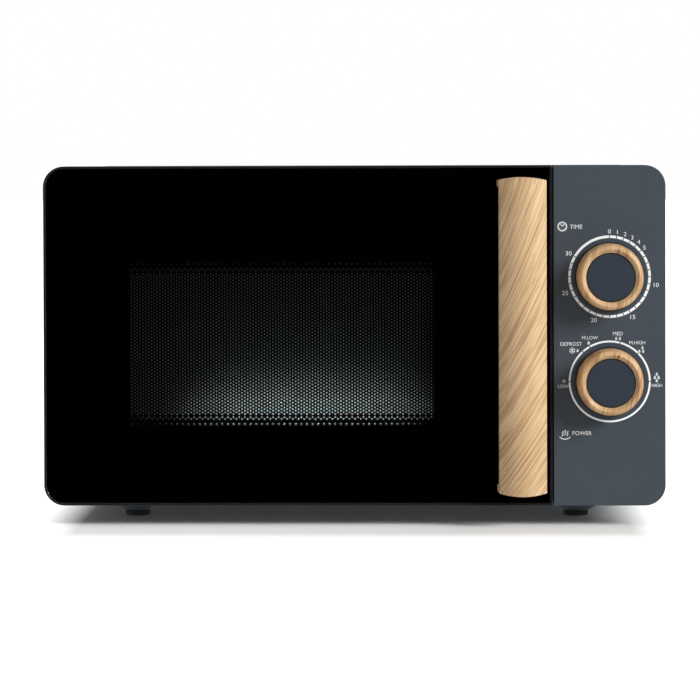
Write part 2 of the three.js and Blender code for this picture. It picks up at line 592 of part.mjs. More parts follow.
function makeInterlock() {
  const midX = (HOOK.x0 + HOOK.x1) / 2 - WIDTH / 2;
  const tipY = FACE_Y + HOOK.tip;
  const plateX = midX + 9;
  const shelf = { y0: BODY_Y + FIT, y1: tipY + 22 };
  const shelves = HOOK_Z.map((z) =>
    box(midX - 6, plateX + 1, tipY + 2, shelf.y1, UNDER + z - 8.5, UNDER + z - 6.5));
  add(oven, "latch_board", join(
    box(plateX, plateX + 2.5, shelf.y0, shelf.y1, UNDER + HOOK_Z[1] - 20, UNDER + HOOK_Z[0] + 30),
    ...shelves,
  ), MATERIAL.whitePlastic);
  ["upper", "lower"].forEach((name, i) => {
    const z = UNDER + HOOK_Z[i] + HOOK.height / 2;
    const bodyY = tipY + FIT + PLUNGER.reach;
    add(oven, `door_switch_${name}`, cut(
      box(midX - 5, midX + 5, bodyY, bodyY + 16, z - 11, z + 9),
      box(midX - 2.3, midX + 2.3, bodyY - 1, bodyY + 6, z - 2.3, z + 2.3),
    ), MATERIAL.blackPlastic);
    add(oven, `switch_plunger_${name}`, box(midX - 2, midX + 2, tipY + FIT, bodyY + 3.5, z - 2, z + 2),
      MATERIAL.whitePlastic);
  });
}

// ---- Microwave generator: waveguide, magnetron, transformer, capacitor and diode ------------------------

const MAGNETRON = { y: 15, z: 190 };

function makeMagnetron() {
  const guide = { x0: CAVITY_RIGHT + SHEET + FIT, x1: CAVITY_RIGHT + 41, y0: PORT.y0 - 15, y1: PORT.y1 + 15 };
  const [guideLow, guideHigh] = [PORT.z0 - 8, MAGNETRON.z + 26];
  add(oven, "waveguide", cut(
    box(guide.x0, guide.x1, guide.y0, guide.y1, guideLow, guideHigh),
    box(guide.x0 - 1, guide.x1 - 1.2, guide.y0 + 1.2, guide.y1 - 1.2, guideLow + 1.2, guideHigh - 1.2),
    rodX(10, guide.x1 - 4, guide.x1 + 4, MAGNETRON.y, MAGNETRON.z),
  ), MATERIAL.zincSteel);

  const tube = group(guide.x1 + FIT, MAGNETRON.y, MAGNETRON.z);
  const yoke = { length: 46, halfY: 38, halfZ: 40, wall: 1.6 };
  add(tube, "magnetron_yoke", cut(
    box(0, yoke.length, -yoke.halfY, yoke.halfY, -yoke.halfZ, yoke.halfZ),
    box(yoke.wall, yoke.length - yoke.wall, -yoke.halfY - 1, yoke.halfY + 1,
      -yoke.halfZ + yoke.wall, yoke.halfZ - yoke.wall),
    rodX(9, -2, 5, 0, 0),
    rodX(9, yoke.length - 5, yoke.length + 2, 0, 0),
  ), MATERIAL.zincSteel);
  const fins = [0, 1, 2, 3, 4].map((i) => box(11 + i * 6, 12 + i * 6, -32, 32, -34, 34));
  add(tube, "magnetron_tube", join(
    rodX(18, 8, yoke.length - 8, 0, 0, 16), ...fins,
    rodX(8.4, -24, 9, 0, 0, 16), rodX(6, yoke.length - 9, yoke.length, 0, 0, 16),
  ), MATERIAL.copper);
  const filterBox = box(yoke.length + FIT, yoke.length + 24, -24, 24, -16, 16);
  add(tube, "magnetron_filter_box", filterBox, MATERIAL.aluminium);
}

function makeTransformer() {
  const transformer = group(166, -32, COVER_BOTTOM + SHEET + FIT);
  const core = { halfX: 42, halfY: 25, height: 70, limb: 14, pane: 14, yoke: 14 };
  const panes = [-1, 1].map((side) => {
    const x = side * (core.limb + core.pane / 2);
    return box(x - core.pane / 2, x + core.pane / 2, -30, 30, core.yoke, core.height - core.yoke);
  });
  add(transformer, "transformer_core", cut(
    box(-core.halfX, core.halfX, -core.halfY, core.halfY, 0, core.height),
    ...panes), MATERIAL.blackSteel);
  const winding = (z0, z1) => {
    const across = core.limb + core.pane - FIT;
    const shape = roundedRect(-across, across, -37, 37, Array(4).fill(8));
    return cut(slabZ(shape, z0, z1, 3),
      box(-core.limb - FIT, core.limb + FIT, -core.halfY - FIT, core.halfY + FIT, z0 - 1, z1 + 1));
  };
  const half = core.height / 2;
  add(transformer, "transformer_primary", winding(core.yoke + FIT, half - 1), MATERIAL.copper);
  const secondary = winding(half + 1, core.height - core.yoke - FIT);
  add(transformer, "transformer_secondary", secondary, MATERIAL.copper);
}

function makeCapacitor() {
  const z0 = COVER_BOTTOM + SHEET + FIT;
  const can = roundedRect(-26, 26, 0, 32, Array(4).fill(15.9));
  const terminals = [box(-14, -10, -8, 1, 12, 20), box(10, 14, -8, 1, 12, 20)];
  add(group(146, 22, z0), "capacitor", join(slabY(can, 0, 80, 5), ...terminals),
    MATERIAL.aluminium);
  add(group(190, 50, z0 + 3.5), "high_voltage_diode", rodY(3.5, -11, 11, 0, 0, 12), MATERIAL.blackPlastic);
}

// ---- Cooling fan, lamp and filter board -----------------------------------------------------------------

function makeFan() {
  const fan = group(FAN.x, FAN.y, FAN.z);
  const plateY = 12;
  const mouth = FAN.blade + 3;
  const rim = mouth + 1.6;
  const collarBack = plateY - 0.5;
  const collar = turned([[mouth, -12], [rim, -12], [rim, collarBack], [mouth, collarBack]], 24);
  add(fan, "fan_shroud", join(
    cut(box(-56, 54, plateY - 2, plateY, -60, 62), rodY(mouth + 0.8, plateY - 4, plateY + 2, 0, 0, 24)),
    collar.rotateX(-Math.PI / 2),
    box(-mouth - 1, -20, -15.6, -11.5, -5, 5),
    box(20, mouth + 1, -15.6, -11.5, -5, 5),
  ), MATERIAL.whitePlastic);
  const blades = [0, 1, 2, 3, 4].map((i) => box(8, FAN.blade, -0.8, 0.8, -11, 11)
    .rotateX(0.55).rotateY((i * 2 * Math.PI) / 5));
  add(fan, "fan_blade", join(rodY(11, -8, 8, 0, 0, 20), rodY(1.6, -26, -7, 0, 0, 12), ...blades),
    MATERIAL.whitePlastic);
  add(fan, "fan_motor", cut(
    join(box(-30, 30, -32, -16, -24, 24), box(-13, 13, -39, -14, -40, -19)),
    rodY(2.2, -28, -10, 0, 0, 12),
    box(-22, 22, -50, 0, -18, -14),
  ), MATERIAL.zincSteel);
}

function makeLampAndFilter() {
  const lamp = group(CAVITY_RIGHT + SHEET + 3, LAMP.y, LAMP.z);
  const bulb = [[0, 0], [7, 1.5], [11, 7], [11, 13], [7.5, 22], [6.5, 30], [0, 30]];
  add(lamp, "lamp_bulb", turned(bulb, 20).rotateY(Math.PI / 2), MATERIAL.clearGlass);
  add(lamp, "lamp_holder", join(
    cut(box(28, 46, -14, 14, -11, 11), rodX(7.2, 25, 31, 0, 0, 20)),
    box(-2.7, 29, 12, 14, -6, 6),
    box(-2.7, 29, -14, -12, -6, 6),
  ), MATERIAL.whitePlastic);
  const legs = [[4, 4], [58, 4], [4, 51], [58, 51]].map(([x, y]) => rodZ(2, 0, 4, x, y, 10));
  add(group(36, 70, CAVITY_TOP + SHEET + 2 * FIT), "filter_board", join(
    box(0, 62, 0, 55, 3, 4.6), rodZ(9, 4, 17, 14, 16, 16), box(30, 50, 8, 20, 4, 19),
    rodX(3, 8, 40, 42, 7, 10), ...legs,
  ), MATERIAL.board);
}

// ---- The oven -------------------------------------------------------------------------------------------

makeCover();
makeRearPanel();
makeBase();
makeCavity();
makeFrontFrame();
makeHinges();
makeTurntable();
const door = group(-WIDTH / 2, FACE_Y, UNDER);
makeDoorShell(door);
makeDoorInner(door);
makeHandle(door);
makeLatch(door);
makeControls();
makeInterlock();
makeMagnetron();
makeTransformer();
makeCapacitor();
makeFan();
makeLampAndFilter();

export default oven;
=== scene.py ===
# %% [markdown]
# # A countertop microwave oven, dressed for the camera
# The oven's engineering model comes in as a fixed frame: every piece has its real size and its real place,
# in metres, with +X to the right, +Y to the back and +Z up. This lesson gives that frame its looks. Pieces
# that are seen close are made again with finer curves and softened edges. Pieces deep inside keep their
# simple shape and only get a finish.

# %% Load the engineering model
import math

import bmesh
import bpy
from mathutils import Matrix, Vector


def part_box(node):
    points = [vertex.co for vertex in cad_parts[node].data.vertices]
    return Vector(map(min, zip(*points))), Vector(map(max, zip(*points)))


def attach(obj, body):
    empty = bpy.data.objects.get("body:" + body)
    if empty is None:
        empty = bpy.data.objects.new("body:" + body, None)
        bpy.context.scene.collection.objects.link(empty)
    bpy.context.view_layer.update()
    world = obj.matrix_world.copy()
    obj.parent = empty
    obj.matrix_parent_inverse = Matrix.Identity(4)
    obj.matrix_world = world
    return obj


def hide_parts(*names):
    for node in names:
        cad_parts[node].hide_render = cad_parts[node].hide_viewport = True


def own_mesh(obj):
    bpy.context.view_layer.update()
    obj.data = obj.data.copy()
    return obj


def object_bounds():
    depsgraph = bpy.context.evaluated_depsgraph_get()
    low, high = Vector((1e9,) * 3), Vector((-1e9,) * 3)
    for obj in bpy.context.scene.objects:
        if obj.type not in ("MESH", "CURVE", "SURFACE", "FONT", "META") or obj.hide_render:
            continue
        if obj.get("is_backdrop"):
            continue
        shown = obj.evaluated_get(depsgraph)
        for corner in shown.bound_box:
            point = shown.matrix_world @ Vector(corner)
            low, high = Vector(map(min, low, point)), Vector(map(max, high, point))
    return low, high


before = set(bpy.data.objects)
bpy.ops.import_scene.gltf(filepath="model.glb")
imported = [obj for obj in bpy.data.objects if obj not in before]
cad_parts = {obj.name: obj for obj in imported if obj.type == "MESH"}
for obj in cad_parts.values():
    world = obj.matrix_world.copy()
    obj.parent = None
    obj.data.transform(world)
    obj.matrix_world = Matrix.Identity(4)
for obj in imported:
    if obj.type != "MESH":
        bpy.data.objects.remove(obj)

MM = 0.001
scene = bpy.context.scene
cad_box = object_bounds()

# %% [markdown]
# ## Small helpers for shaping
# Nearly everything on an oven is a flat plate with rounded corners, a turned shape, or a sheet with holes
# cut in it. A plate starts as one flat face whose corner points are bevelled into arcs and which is then
# pushed back into a slab. A turned shape is a profile spun about an axis. Holes are cut with a Boolean,
# which copes with any number of them. Each helper returns a bmesh, so that shapes can be combined before
# they become a piece.


# %% Plates, boxes, turned shapes and cuts
def plate(x0, x1, y0, y1, z0, z1, corners=(0, 0, 0, 0), steps=10):
    """A slab that faces the front. The corner radii are lower left, lower right, upper right, upper left."""
    bm = bmesh.new()
    bmesh.ops.create_grid(bm, x_segments=1, y_segments=1, size=0.5)
    bmesh.ops.scale(bm, vec=(x1 - x0, z1 - z0, 1), verts=bm.verts)
    bmesh.ops.rotate(bm, matrix=Matrix.Rotation(math.pi / 2, 3, "X"), verts=bm.verts)
    bmesh.ops.translate(bm, vec=((x0 + x1) / 2, y0, (z0 + z1) / 2), verts=bm.verts)
    places = [(x0, z0), (x1, z0), (x1, z1), (x0, z1)]
    for (x, z), radius in zip(places, corners):
        if radius:
            corner = min(bm.verts, key=lambda v: (v.co.x - x) ** 2 + (v.co.z - z) ** 2)
            bmesh.ops.bevel(
                bm, geom=[corner], offset=radius, segments=steps, profile=0.5, affect="VERTICES", material=-1,
            )
    pushed = bmesh.ops.extrude_face_region(bm, geom=bm.faces[:], use_keep_orig=True)
    moved = [g for g in pushed["geom"] if isinstance(g, bmesh.types.BMVert)]
    bmesh.ops.translate(bm, vec=(0, y1 - y0, 0), verts=moved)
    bmesh.ops.recalc_face_normals(bm, faces=bm.faces)
    return bm


def block(x0, x1, y0, y1, z0, z1):
    """A plain box, for cutting with or for softening later."""
    bm = bmesh.new()
    bmesh.ops.create_cube(bm, size=1)
    bmesh.ops.scale(bm, vec=(x1 - x0, y1 - y0, z1 - z0), verts=bm.verts)
    bmesh.ops.translate(bm, vec=((x0 + x1) / 2, (y0 + y1) / 2, (z0 + z1) / 2), verts=bm.verts)
    return bm


def turned(profile, axis="Z", steps=96, turn=2 * math.pi, closed=True):
    """A profile of (radius, height) points spun about an axis through the origin, along which height runs."""
    bm = bmesh.new()
    line = [bm.verts.new((radius, 0, height)) for radius, height in profile]
    ends = list(zip(line, line[1:] + line[:1])) if closed else list(zip(line, line[1:]))
    edges = [bm.edges.new(pair) for pair in ends]
    whole = abs(turn - 2 * math.pi) < 1e-6
    bmesh.ops.spin(
        bm, geom=line + edges, cent=(0, 0, 0), axis=(0, 0, 1), angle=turn, steps=steps,
        use_merge=whole, use_duplicate=False,
    )
    bmesh.ops.remove_doubles(bm, verts=bm.verts, dist=1e-7)
    bmesh.ops.recalc_face_normals(bm, faces=bm.faces)
    if axis == "front":
        bmesh.ops.rotate(bm, matrix=Matrix.Rotation(math.pi / 2, 3, "X"), verts=bm.verts)
    if axis == "back":
        bmesh.ops.rotate(bm, matrix=Matrix.Rotation(-math.pi / 2, 3, "X"), verts=bm.verts)
    return bm


def rod(radius, low, high, axis="Z", steps=72):
    """A round bar along an axis, for cutting holes and for printed dots."""
    return turned([(0, low), (radius, low), (radius, high), (0, high)], axis, steps, closed=False)


def cap_ends(bm):
    """Closes the open ends of a shape that was spun only part of the way round."""
    bmesh.ops.holes_fill(bm, edges=[e for e in bm.edges if e.is_boundary], sides=0)
    bmesh.ops.recalc_face_normals(bm, faces=bm.faces)


def shift(bm, x=0.0, y=0.0, z=0.0):
    bmesh.ops.translate(bm, vec=(x, y, z), verts=bm.verts)
    return bm


def gather(*shapes):
    """Puts several shapes in one bmesh."""
    whole = bmesh.new()
    for shape in shapes:
        carrier = bpy.data.meshes.new("carrier")
        shape.to_mesh(carrier)
        shape.free()
        whole.from_mesh(carrier)
        bpy.data.meshes.remove(carrier)
    return whole


def carve(shape, *cutters, how="DIFFERENCE"):
    """Cuts shapes out of a shape, or keeps what they share."""
    held = []
    for bm in (shape, gather(*cutters)):
        mesh = bpy.data.meshes.new("held")
        bm.to_mesh(mesh)
        bm.free()
        thing = bpy.data.objects.new("held", mesh)
        scene.collection.objects.link(thing)
        held.append(thing)
    saw = held[0].modifiers.new("saw", "BOOLEAN")
    saw.operation, saw.solver, saw.object = how, "EXACT", held[1]
    result = bmesh.new()
    result.from_object(held[0], bpy.context.evaluated_depsgraph_get())
    for thing in held:
        mesh = thing.data
        bpy.data.objects.remove(thing)
        bpy.data.meshes.remove(mesh)
    return result


def clean(bm):
    """Merges doubles and joins flat neighbours into single faces, which bevels well."""
    bmesh.ops.remove_doubles(bm, verts=bm.verts, dist=2e-6)
    bmesh.ops.dissolve_limit(bm, angle_limit=math.radians(0.5), verts=bm.verts, edges=bm.edges)
    return bm


def soften(bm, width, steps=2, sharper_than=35, where=None):
    """Rounds the edges sharper than an angle, or only those of them whose middle point passes a test."""
    sharp = [
        e for e in bm.edges
        if len(e.link_faces) == 2
        and e.calc_face_angle(0) > math.radians(sharper_than)
        and (where is None or where((e.verts[0].co + e.verts[1].co) / 2))
    ]
    bmesh.ops.bevel(
        bm, geom=sharp, offset=width, segments=steps, profile=0.5, affect="EDGES",
        clamp_overlap=True, material=-1,
    )
    return bm


# %% [markdown]
# ## From a shape to a piece
# A piece is a mesh object that rides on one body of the model, so that it moves with the right joint. It
# hides the engineering nodes that it stands for, and carries its finish as its material.


# %% Make pieces
SHARPEST_SMOOTH_EDGE = math.radians(32)


def piece(name, bm, body, finish, stands_for=()):
    mesh = bpy.data.meshes.new(name)
    bm.to_mesh(mesh)
    bm.free()
    for face in mesh.polygons:
        face.use_smooth = True
    mesh.set_sharp_from_angle(angle=SHARPEST_SMOOTH_EDGE)
    made = bpy.data.objects.new(name, mesh)
    scene.collection.objects.link(made)
    flats = made.modifiers.new("flats stay flat", "WEIGHTED_NORMAL")
    flats.keep_sharp = True
    mesh.materials.append(finish)
    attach(made, body)
    if stands_for:
        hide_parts(*stands_for)
    print(name, "has", len(mesh.polygons), "faces")
    return made


def from_node(node, width, steps=2):
    """A finer copy of an engineering node: merged, with flat faces joined and sharp edges rounded."""
    bm = bmesh.new()
    bm.from_mesh(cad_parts[node].data)
    clean(bm)
    return soften(bm, width, steps)


# %% [markdown]
# ## Finishes
# Real surfaces are never one flat colour. Each finish here is a Principled shader with its colour,
# roughness and bump driven by noise at the scale of the real thing: orange peel in paint, grain in moulded
# plastic, fibres and pores in oak. All patterns read Object coordinates, so they stay fixed to the piece in
# every pose.


# %% Node helpers
def linear(r, g, b):
    """A colour as a painter reads it, from 0 to 255, turned into the light that it reflects."""
    return tuple(c / 3294.6 if c <= 10.3 else ((c / 255 + 0.055) / 1.055) ** 2.4 for c in (r, g, b))


def shade(colour, factor):
    """A darker or lighter shade of a colour."""
    return tuple(min(1, c * factor) for c in colour)


def feed(tree, socket, value):
    """Gives a socket a number or a colour, or joins it to another node's output."""
    if isinstance(value, bpy.types.NodeSocket):
        tree.links.new(value, socket)
    else:
        socket.default_value = (*value, 1) if isinstance(value, tuple) else value


def maths(tree, operation, *values):
    node = tree.nodes.new("ShaderNodeMath")
    node.operation = operation
    for socket, value in zip(node.inputs, values):
        feed(tree, socket, value)
    return node.outputs[0]


DEPTH_STRETCH = 12


class Finish:
    """A material under construction: a Principled shader and short calls that add nodes to it."""

    def __init__(self, name, colour, roughness, metallic=0.0, **sockets):
        self.material = bpy.data.materials.new(name)
        self.material.use_nodes = True
        self.tree = self.material.node_tree
        self.tree.nodes.clear()
        self.output = self.tree.nodes.new("ShaderNodeOutputMaterial")
        self.shader = self.tree.nodes.new("ShaderNodeBsdfPrincipled")
        self.join(self.shader.outputs[0], self.output.inputs["Surface"])
        self.place = self.tree.nodes.new("ShaderNodeTexCoord").outputs["Object"]
        self.set(**{"Base Color": (*colour, 1), "Roughness": roughness, "Metallic": metallic, **sockets})

    def set(self, **sockets):
        for socket, value in sockets.items():
            self.shader.inputs[socket].default_value = value

    def join(self, a, b):
        self.tree.links.new(a, b)

    def mapped(self, scale):
        node = self.tree.nodes.new("ShaderNodeMapping")
        node.inputs["Scale"].default_value = scale
        self.join(self.place, node.inputs["Vector"])
        return node.outputs[0]

    def along(self, lean, stretch, move=(0, 0, 0)):
        """Coordinates that draw a pattern out along the grain, which leans about Y, and in depth."""
        node = self.tree.nodes.new("ShaderNodeMapping")
        node.vector_type = "TEXTURE"
        node.inputs["Location"].default_value = move
        node.inputs["Rotation"].default_value = (0, math.radians(lean), 0)
        node.inputs["Scale"].default_value = (1, DEPTH_STRETCH, stretch)
        self.join(self.place, node.inputs["Vector"])
        return node.outputs[0]

    def bent(self, bend, middle):
        """Coordinates pushed sideways by the square of the height from a middle, which bends the grain."""
        parts = self.tree.nodes.new("ShaderNodeSeparateXYZ")
        whole = self.tree.nodes.new("ShaderNodeCombineXYZ")
        self.join(self.place, parts.inputs[0])
        rise = maths(self.tree, "SUBTRACT", parts.outputs[2], middle)
        push = maths(self.tree, "MULTIPLY", maths(self.tree, "MULTIPLY", rise, rise), bend)
        self.join(maths(self.tree, "ADD", parts.outputs[0], push), whole.inputs[0])
        self.join(parts.outputs[1], whole.inputs[1])
        self.join(parts.outputs[2], whole.inputs[2])
        return whole.outputs[0]

    def noise(self, scale, detail, rough=0.55, vector=None):
        node = self.tree.nodes.new("ShaderNodeTexNoise")
        node.inputs["Scale"].default_value = scale
        node.inputs["Detail"].default_value = detail
        node.inputs["Roughness"].default_value = rough
        self.join(vector or self.place, node.inputs["Vector"])
        return node.outputs["Fac"]

    def ramp(self, factor, *stops):
        node = self.tree.nodes.new("ShaderNodeValToRGB")
        while len(node.color_ramp.elements) < len(stops):
            node.color_ramp.elements.new(0.5)
        for element, (at, colour) in zip(node.color_ramp.elements, stops):
            element.position = at
            element.color = (*colour, 1) if isinstance(colour, tuple) else (colour, colour, colour, 1)
        self.join(factor, node.inputs[0])
        return node.outputs[0]

    def blend(self, factor, a, b, how="MIX"):
        node = self.tree.nodes.new("ShaderNodeMix")
        node.data_type, node.blend_type = "RGBA", how
        for value, socket in ((factor, node.inputs[0]), (a, node.inputs[6]), (b, node.inputs[7])):
            feed(self.tree, socket, value)
        return node.outputs[2]

    def drifting(self, colour, factor, darkest, lightest):
        """A colour that drifts between two shades of itself."""
        return self.ramp(factor, (0.3, shade(colour, darkest)), (0.7, shade(colour, lightest)))

    def colour(self, socket):
        self.join(socket, self.shader.inputs["Base Color"])
        return self

    def rough(self, factor, low, high):
        node = self.tree.nodes.new("ShaderNodeMapRange")
        node.inputs["To Min"].default_value = low
        node.inputs["To Max"].default_value = high
        self.join(factor, node.inputs["Value"])
        self.join(node.outputs[0], self.shader.inputs["Roughness"])
        return self

    def bump(self, height, strength, depth):
        node = self.tree.nodes.new("ShaderNodeBump")
        node.inputs["Strength"].default_value = strength
        node.inputs["Distance"].default_value = depth
        self.join(height, node.inputs["Height"])
        self.join(node.outputs[0], self.shader.inputs["Normal"])
        return self


# %% [markdown]
# ### Slate paint
# The cabinet is powder coated steel and the panel and knob centres are painted to match. Powder flows out
# into a faint orange peel about a millimetre across. Its colour drifts by a few percent over a large face,
# with flecks too fine to be told apart from a distance.


# %% Slate paint, in three versions
def slate_paint(name, colour, roughness, peel, sheen=0.35):
    paint = Finish(name, linear(*colour), roughness, **{"Specular IOR Level": sheen})
    tone = paint.drifting(linear(*colour), paint.noise(9, 4), 0.93, 1.06)
    flecks = paint.ramp(paint.noise(2600, 2), (0.35, 0.0), (0.65, 0.35))
    paint.colour(paint.blend(0.06, tone, flecks))
    paint.rough(paint.noise(60, 5), roughness - 0.03, roughness + 0.04)
    return paint.bump(paint.noise(900, 2), peel, 0.00006).material


panel_paint = slate_paint("slate_panel_paint", (54, 64, 74), 0.5, 0.10)
cabinet_paint = slate_paint("slate_powder_coat", (58, 67, 77), 0.55, 0.25, 0.2)
disc_paint = slate_paint("slate_knob_paint", (36, 46, 58), 0.52, 0.10, 0.15)

# %% [markdown]
# ### Oak
# The handle and the knob rings are light oak under matt lacquer. The grain runs steeply from lower left to
# upper right, and on the long handle it also bends a little. Growth rings are a wave that noise bends,
# fibres are noise stretched along the grain, and pores are short dark dashes. Stretching is done by a
# Mapping node that first turns the coordinates into the grain's direction. It also draws the patterns out
# in depth, so that a rounded face doesn't cut them into blotches.


# %% Oak
# The height at which the handle's bent grain has exactly its lean.
TRUE_LEAN_AT = 0.125


def oak(name, lean, bend, light, mid, dark):
    light, mid, dark = linear(*light), linear(*mid), linear(*dark)
    wood = Finish(name, mid, 0.5)
    wood.place = wood.bent(bend, TRUE_LEAN_AT)
    bands = wood.noise(110, 2, 0.5, wood.along(lean, 30))
    streaks = wood.noise(600, 2, 0.6, wood.along(lean, 90, (0.2, 0.1, 0.3)))
    rings = wood.tree.nodes.new("ShaderNodeTexWave")
    rings.inputs["Scale"].default_value = 95
    rings.inputs["Distortion"].default_value = 8
    rings.inputs["Detail"].default_value = 1.0
    rings.inputs["Detail Scale"].default_value = 0.9
    wood.join(wood.along(lean, 14, (0.1, 0.0, 0.4)), rings.inputs["Vector"])
    fibres = wood.noise(1050, 2, 0.6, wood.along(lean, 80, (0.3, 0.1, 0.2)))
    pores = wood.noise(1400, 1, 0.5, wood.along(lean, 40, (0.7, 0.2, 0.1)))
    tone = wood.ramp(bands, (0.30, dark), (0.44, mid), (0.52, light), (0.70, mid))
    layers = (
        (0.70, rings.outputs["Fac"], (0.00, (0.86, 0.80, 0.74)), (0.30, 1.0)),
        (0.85, streaks, (0.37, (0.72, 0.62, 0.52)), (0.48, 1.0)),
        (0.80, fibres, (0.36, (0.72, 0.65, 0.58)), (0.52, 1.0)),
        (0.60, pores, (0.28, (0.45, 0.36, 0.28)), (0.38, 1.0)),
    )
    for strength, pattern, *stops in layers:
        tone = wood.blend(strength, tone, wood.ramp(pattern, *stops), "MULTIPLY")
    wood.colour(tone)
    wood.rough(fibres, 0.42, 0.6)
    return wood.bump(fibres, 0.25, 0.00008).material


RING_TONES = (206, 172, 130), (192, 155, 112), (168, 129, 89)
handle_oak = oak("oak_handle", 29, 0.95, (206, 176, 136), (196, 163, 122), (178, 143, 102))
timer_oak = oak("oak_timer_ring", 8, 0.0, *RING_TONES)
power_oak = oak("oak_power_ring", 12, 0.0, *RING_TONES)

# %% [markdown]
# ### Plastics, rubber and inks
# Moulded plastic has a spark-eroded grain of under half a millimetre, and is shinier in some places than in
# others. Printed ink is thin, slightly uneven and not quite white.


# %% Plastics, rubber and ink
def moulded(name, colour, roughness, grain=0.15, size=2200):
    base = linear(*colour)
    plastic = Finish(name, base, roughness)
    plastic.colour(plastic.drifting(base, plastic.noise(35, 4), 0.9, 1.1))
    plastic.rough(plastic.noise(140, 4), roughness - 0.07, roughness + 0.08)
    return plastic.bump(plastic.noise(size, 2), grain, 0.00005).material


surround_plastic = moulded("black_surround_plastic", (24, 25, 26), 0.30, 0.05)
black_plastic = moulded("black_moulded_plastic", (26, 27, 28), 0.45, 0.3)
white_plastic = moulded("white_moulded_plastic", (222, 220, 213), 0.42, 0.15)
foot_rubber = moulded("foot_rubber", (20, 20, 20), 0.75, 0.5, 1400)
white_ink = moulded("white_print", (236, 240, 243), 0.5, 0.1, 3000)
tick_ink = moulded("tick_print", (42, 48, 56), 0.5, 0.1, 3000)
mark_ink = moulded("pointer_print", (62, 40, 24), 0.6, 0.2, 3000)

# %% [markdown]
# ### Steels and other metals
# Zinc plated sheet has a broad spangle and fine rolling lines. Enamel in the cavity is smooth, with tiny
# specks that hide splashes. Black enamel on the door's perforated sheet is matt, so that the holes show and
# not the sheet.


# %% Metals, enamels and the rest of the inside
def sheet_metal(name, colour, roughness, lines=(1, 1, 0.02), metallic=1.0):
    base = linear(*colour)
    metal = Finish(name, base, roughness, metallic)
    rolled = metal.noise(1800, 3, 0.6, metal.mapped(lines))
    tone = metal.drifting(base, metal.noise(90, 4), 0.84, 1.08)
    metal.colour(metal.blend(0.25, tone, metal.ramp(rolled, (0.3, 0.72), (0.7, 1.0)), "MULTIPLY"))
    metal.rough(rolled, roughness - 0.08, roughness + 0.12)
    return metal.bump(rolled, 0.12, 0.00004).material


def enamel(name, colour, roughness, speck, sheen=0.5):
    base = linear(*colour)
    coat = Finish(name, base, roughness, **{"Specular IOR Level": sheen})
    tone = coat.drifting(base, coat.noise(12, 4), 0.94, 1.03)
    specks = coat.ramp(coat.noise(1300, 1), (0.28, speck), (0.36, 1.0))
    coat.colour(coat.blend(0.7, tone, specks, "MULTIPLY"))
    coat.rough(coat.noise(50, 4), roughness - 0.06, roughness + 0.08)
    return coat.bump(coat.noise(420, 2), 0.12, 0.00006).material


def wound(name, colour, pitch):
    base = linear(*colour)
    wire = Finish(name, base, 0.35, 0.7)
    turns = wire.tree.nodes.new("ShaderNodeTexWave")
    turns.bands_direction = "Z"
    turns.inputs["Scale"].default_value = pitch
    turns.inputs["Distortion"].default_value = 0.4
    wire.join(wire.place, turns.inputs["Vector"])
    # Painted shade: the colour darkens to a third in the wave's troughs, the grooves between turns where
    # shade falls.
    tone = wire.ramp(turns.outputs["Fac"], (0.1, shade(base, 0.35)), (0.6, base))
    dulled = wire.ramp(wire.noise(70, 4), (0.3, 0.6), (0.7, 1.0))
    wire.colour(wire.blend(0.4, tone, dulled, "MULTIPLY"))
    wire.rough(wire.noise(200, 3), 0.28, 0.45)
    return wire.bump(turns.outputs["Fac"], 0.5, 0.0003).material


zinc = sheet_metal("zinc_plated_steel", (172, 176, 180), 0.34)
aluminium = sheet_metal("mill_aluminium", (205, 207, 210), 0.28, (0.02, 1, 1))
laminations = sheet_metal("varnished_laminations", (58, 56, 58), 0.45, (0.03, 1, 1), 0.6)
cavity_enamel = enamel("cavity_enamel", (188, 190, 190), 0.34, 0.72)
screen_enamel = enamel("black_screen_enamel", (8, 8, 8), 0.7, 0.8, 0.08)
pan_enamel = enamel("black_pan_enamel", (20, 20, 21), 0.4, 0.85)
copper = wound("copper_winding", (184, 104, 62), 260)
mica = enamel("mica_sheet", (176, 166, 140), 0.5, 0.5)
board_paper = enamel("circuit_board_paper", (132, 98, 46), 0.55, 0.6)

# %% [markdown]
# ### Glass
# The door's pane is smoked tempered glass with a black print on its back that leaves the window free. The
# tray and the lamp are nearly clear. All three let shadow rays pass, so the lights reach what is behind
# them without noise. A little dust and wiping shows as a slight change of roughness.


# %% Glass and the black print behind the pane
def see_through(name, tint, wipe):
    glass = Finish(name, tint, 0.0, 0.0, **{"IOR": 1.5, "Transmission Weight": 1.0})
    glass.rough(glass.noise(24, 5, 0.6), 0.0, wipe)
    passing = glass.tree.nodes.new("ShaderNodeBsdfTransparent")
    passing.inputs[0].default_value = (*tint, 1)
    path = glass.tree.nodes.new("ShaderNodeLightPath")
    either = glass.tree.nodes.new("ShaderNodeMixShader")
    glass.join(path.outputs["Is Shadow Ray"], either.inputs[0])
    glass.join(glass.shader.outputs[0], either.inputs[1])
    glass.join(passing.outputs[0], either.inputs[2])
    glass.join(either.outputs[0], glass.output.inputs["Surface"])
    return glass.material


pane_glass = see_through("tempered_pane", (0.50, 0.51, 0.52), 0.01)
tray_glass = see_through("tray_glass", (0.93, 0.96, 0.96), 0.03)
bulb_glass = see_through("bulb_glass", (0.97, 0.97, 0.95), 0.02)
glass_print = enamel("black_glass_print", (3, 3, 3), 0.6, 0.9, 0.0)

# %% [markdown]
# ## The cabinet
# The cover, the rear panel and the steel plate round the cavity are pressed sheet. They are finer copies of
# the engineering nodes, with their flat faces joined and every cut edge slightly rounded, as on deburred
# steel.

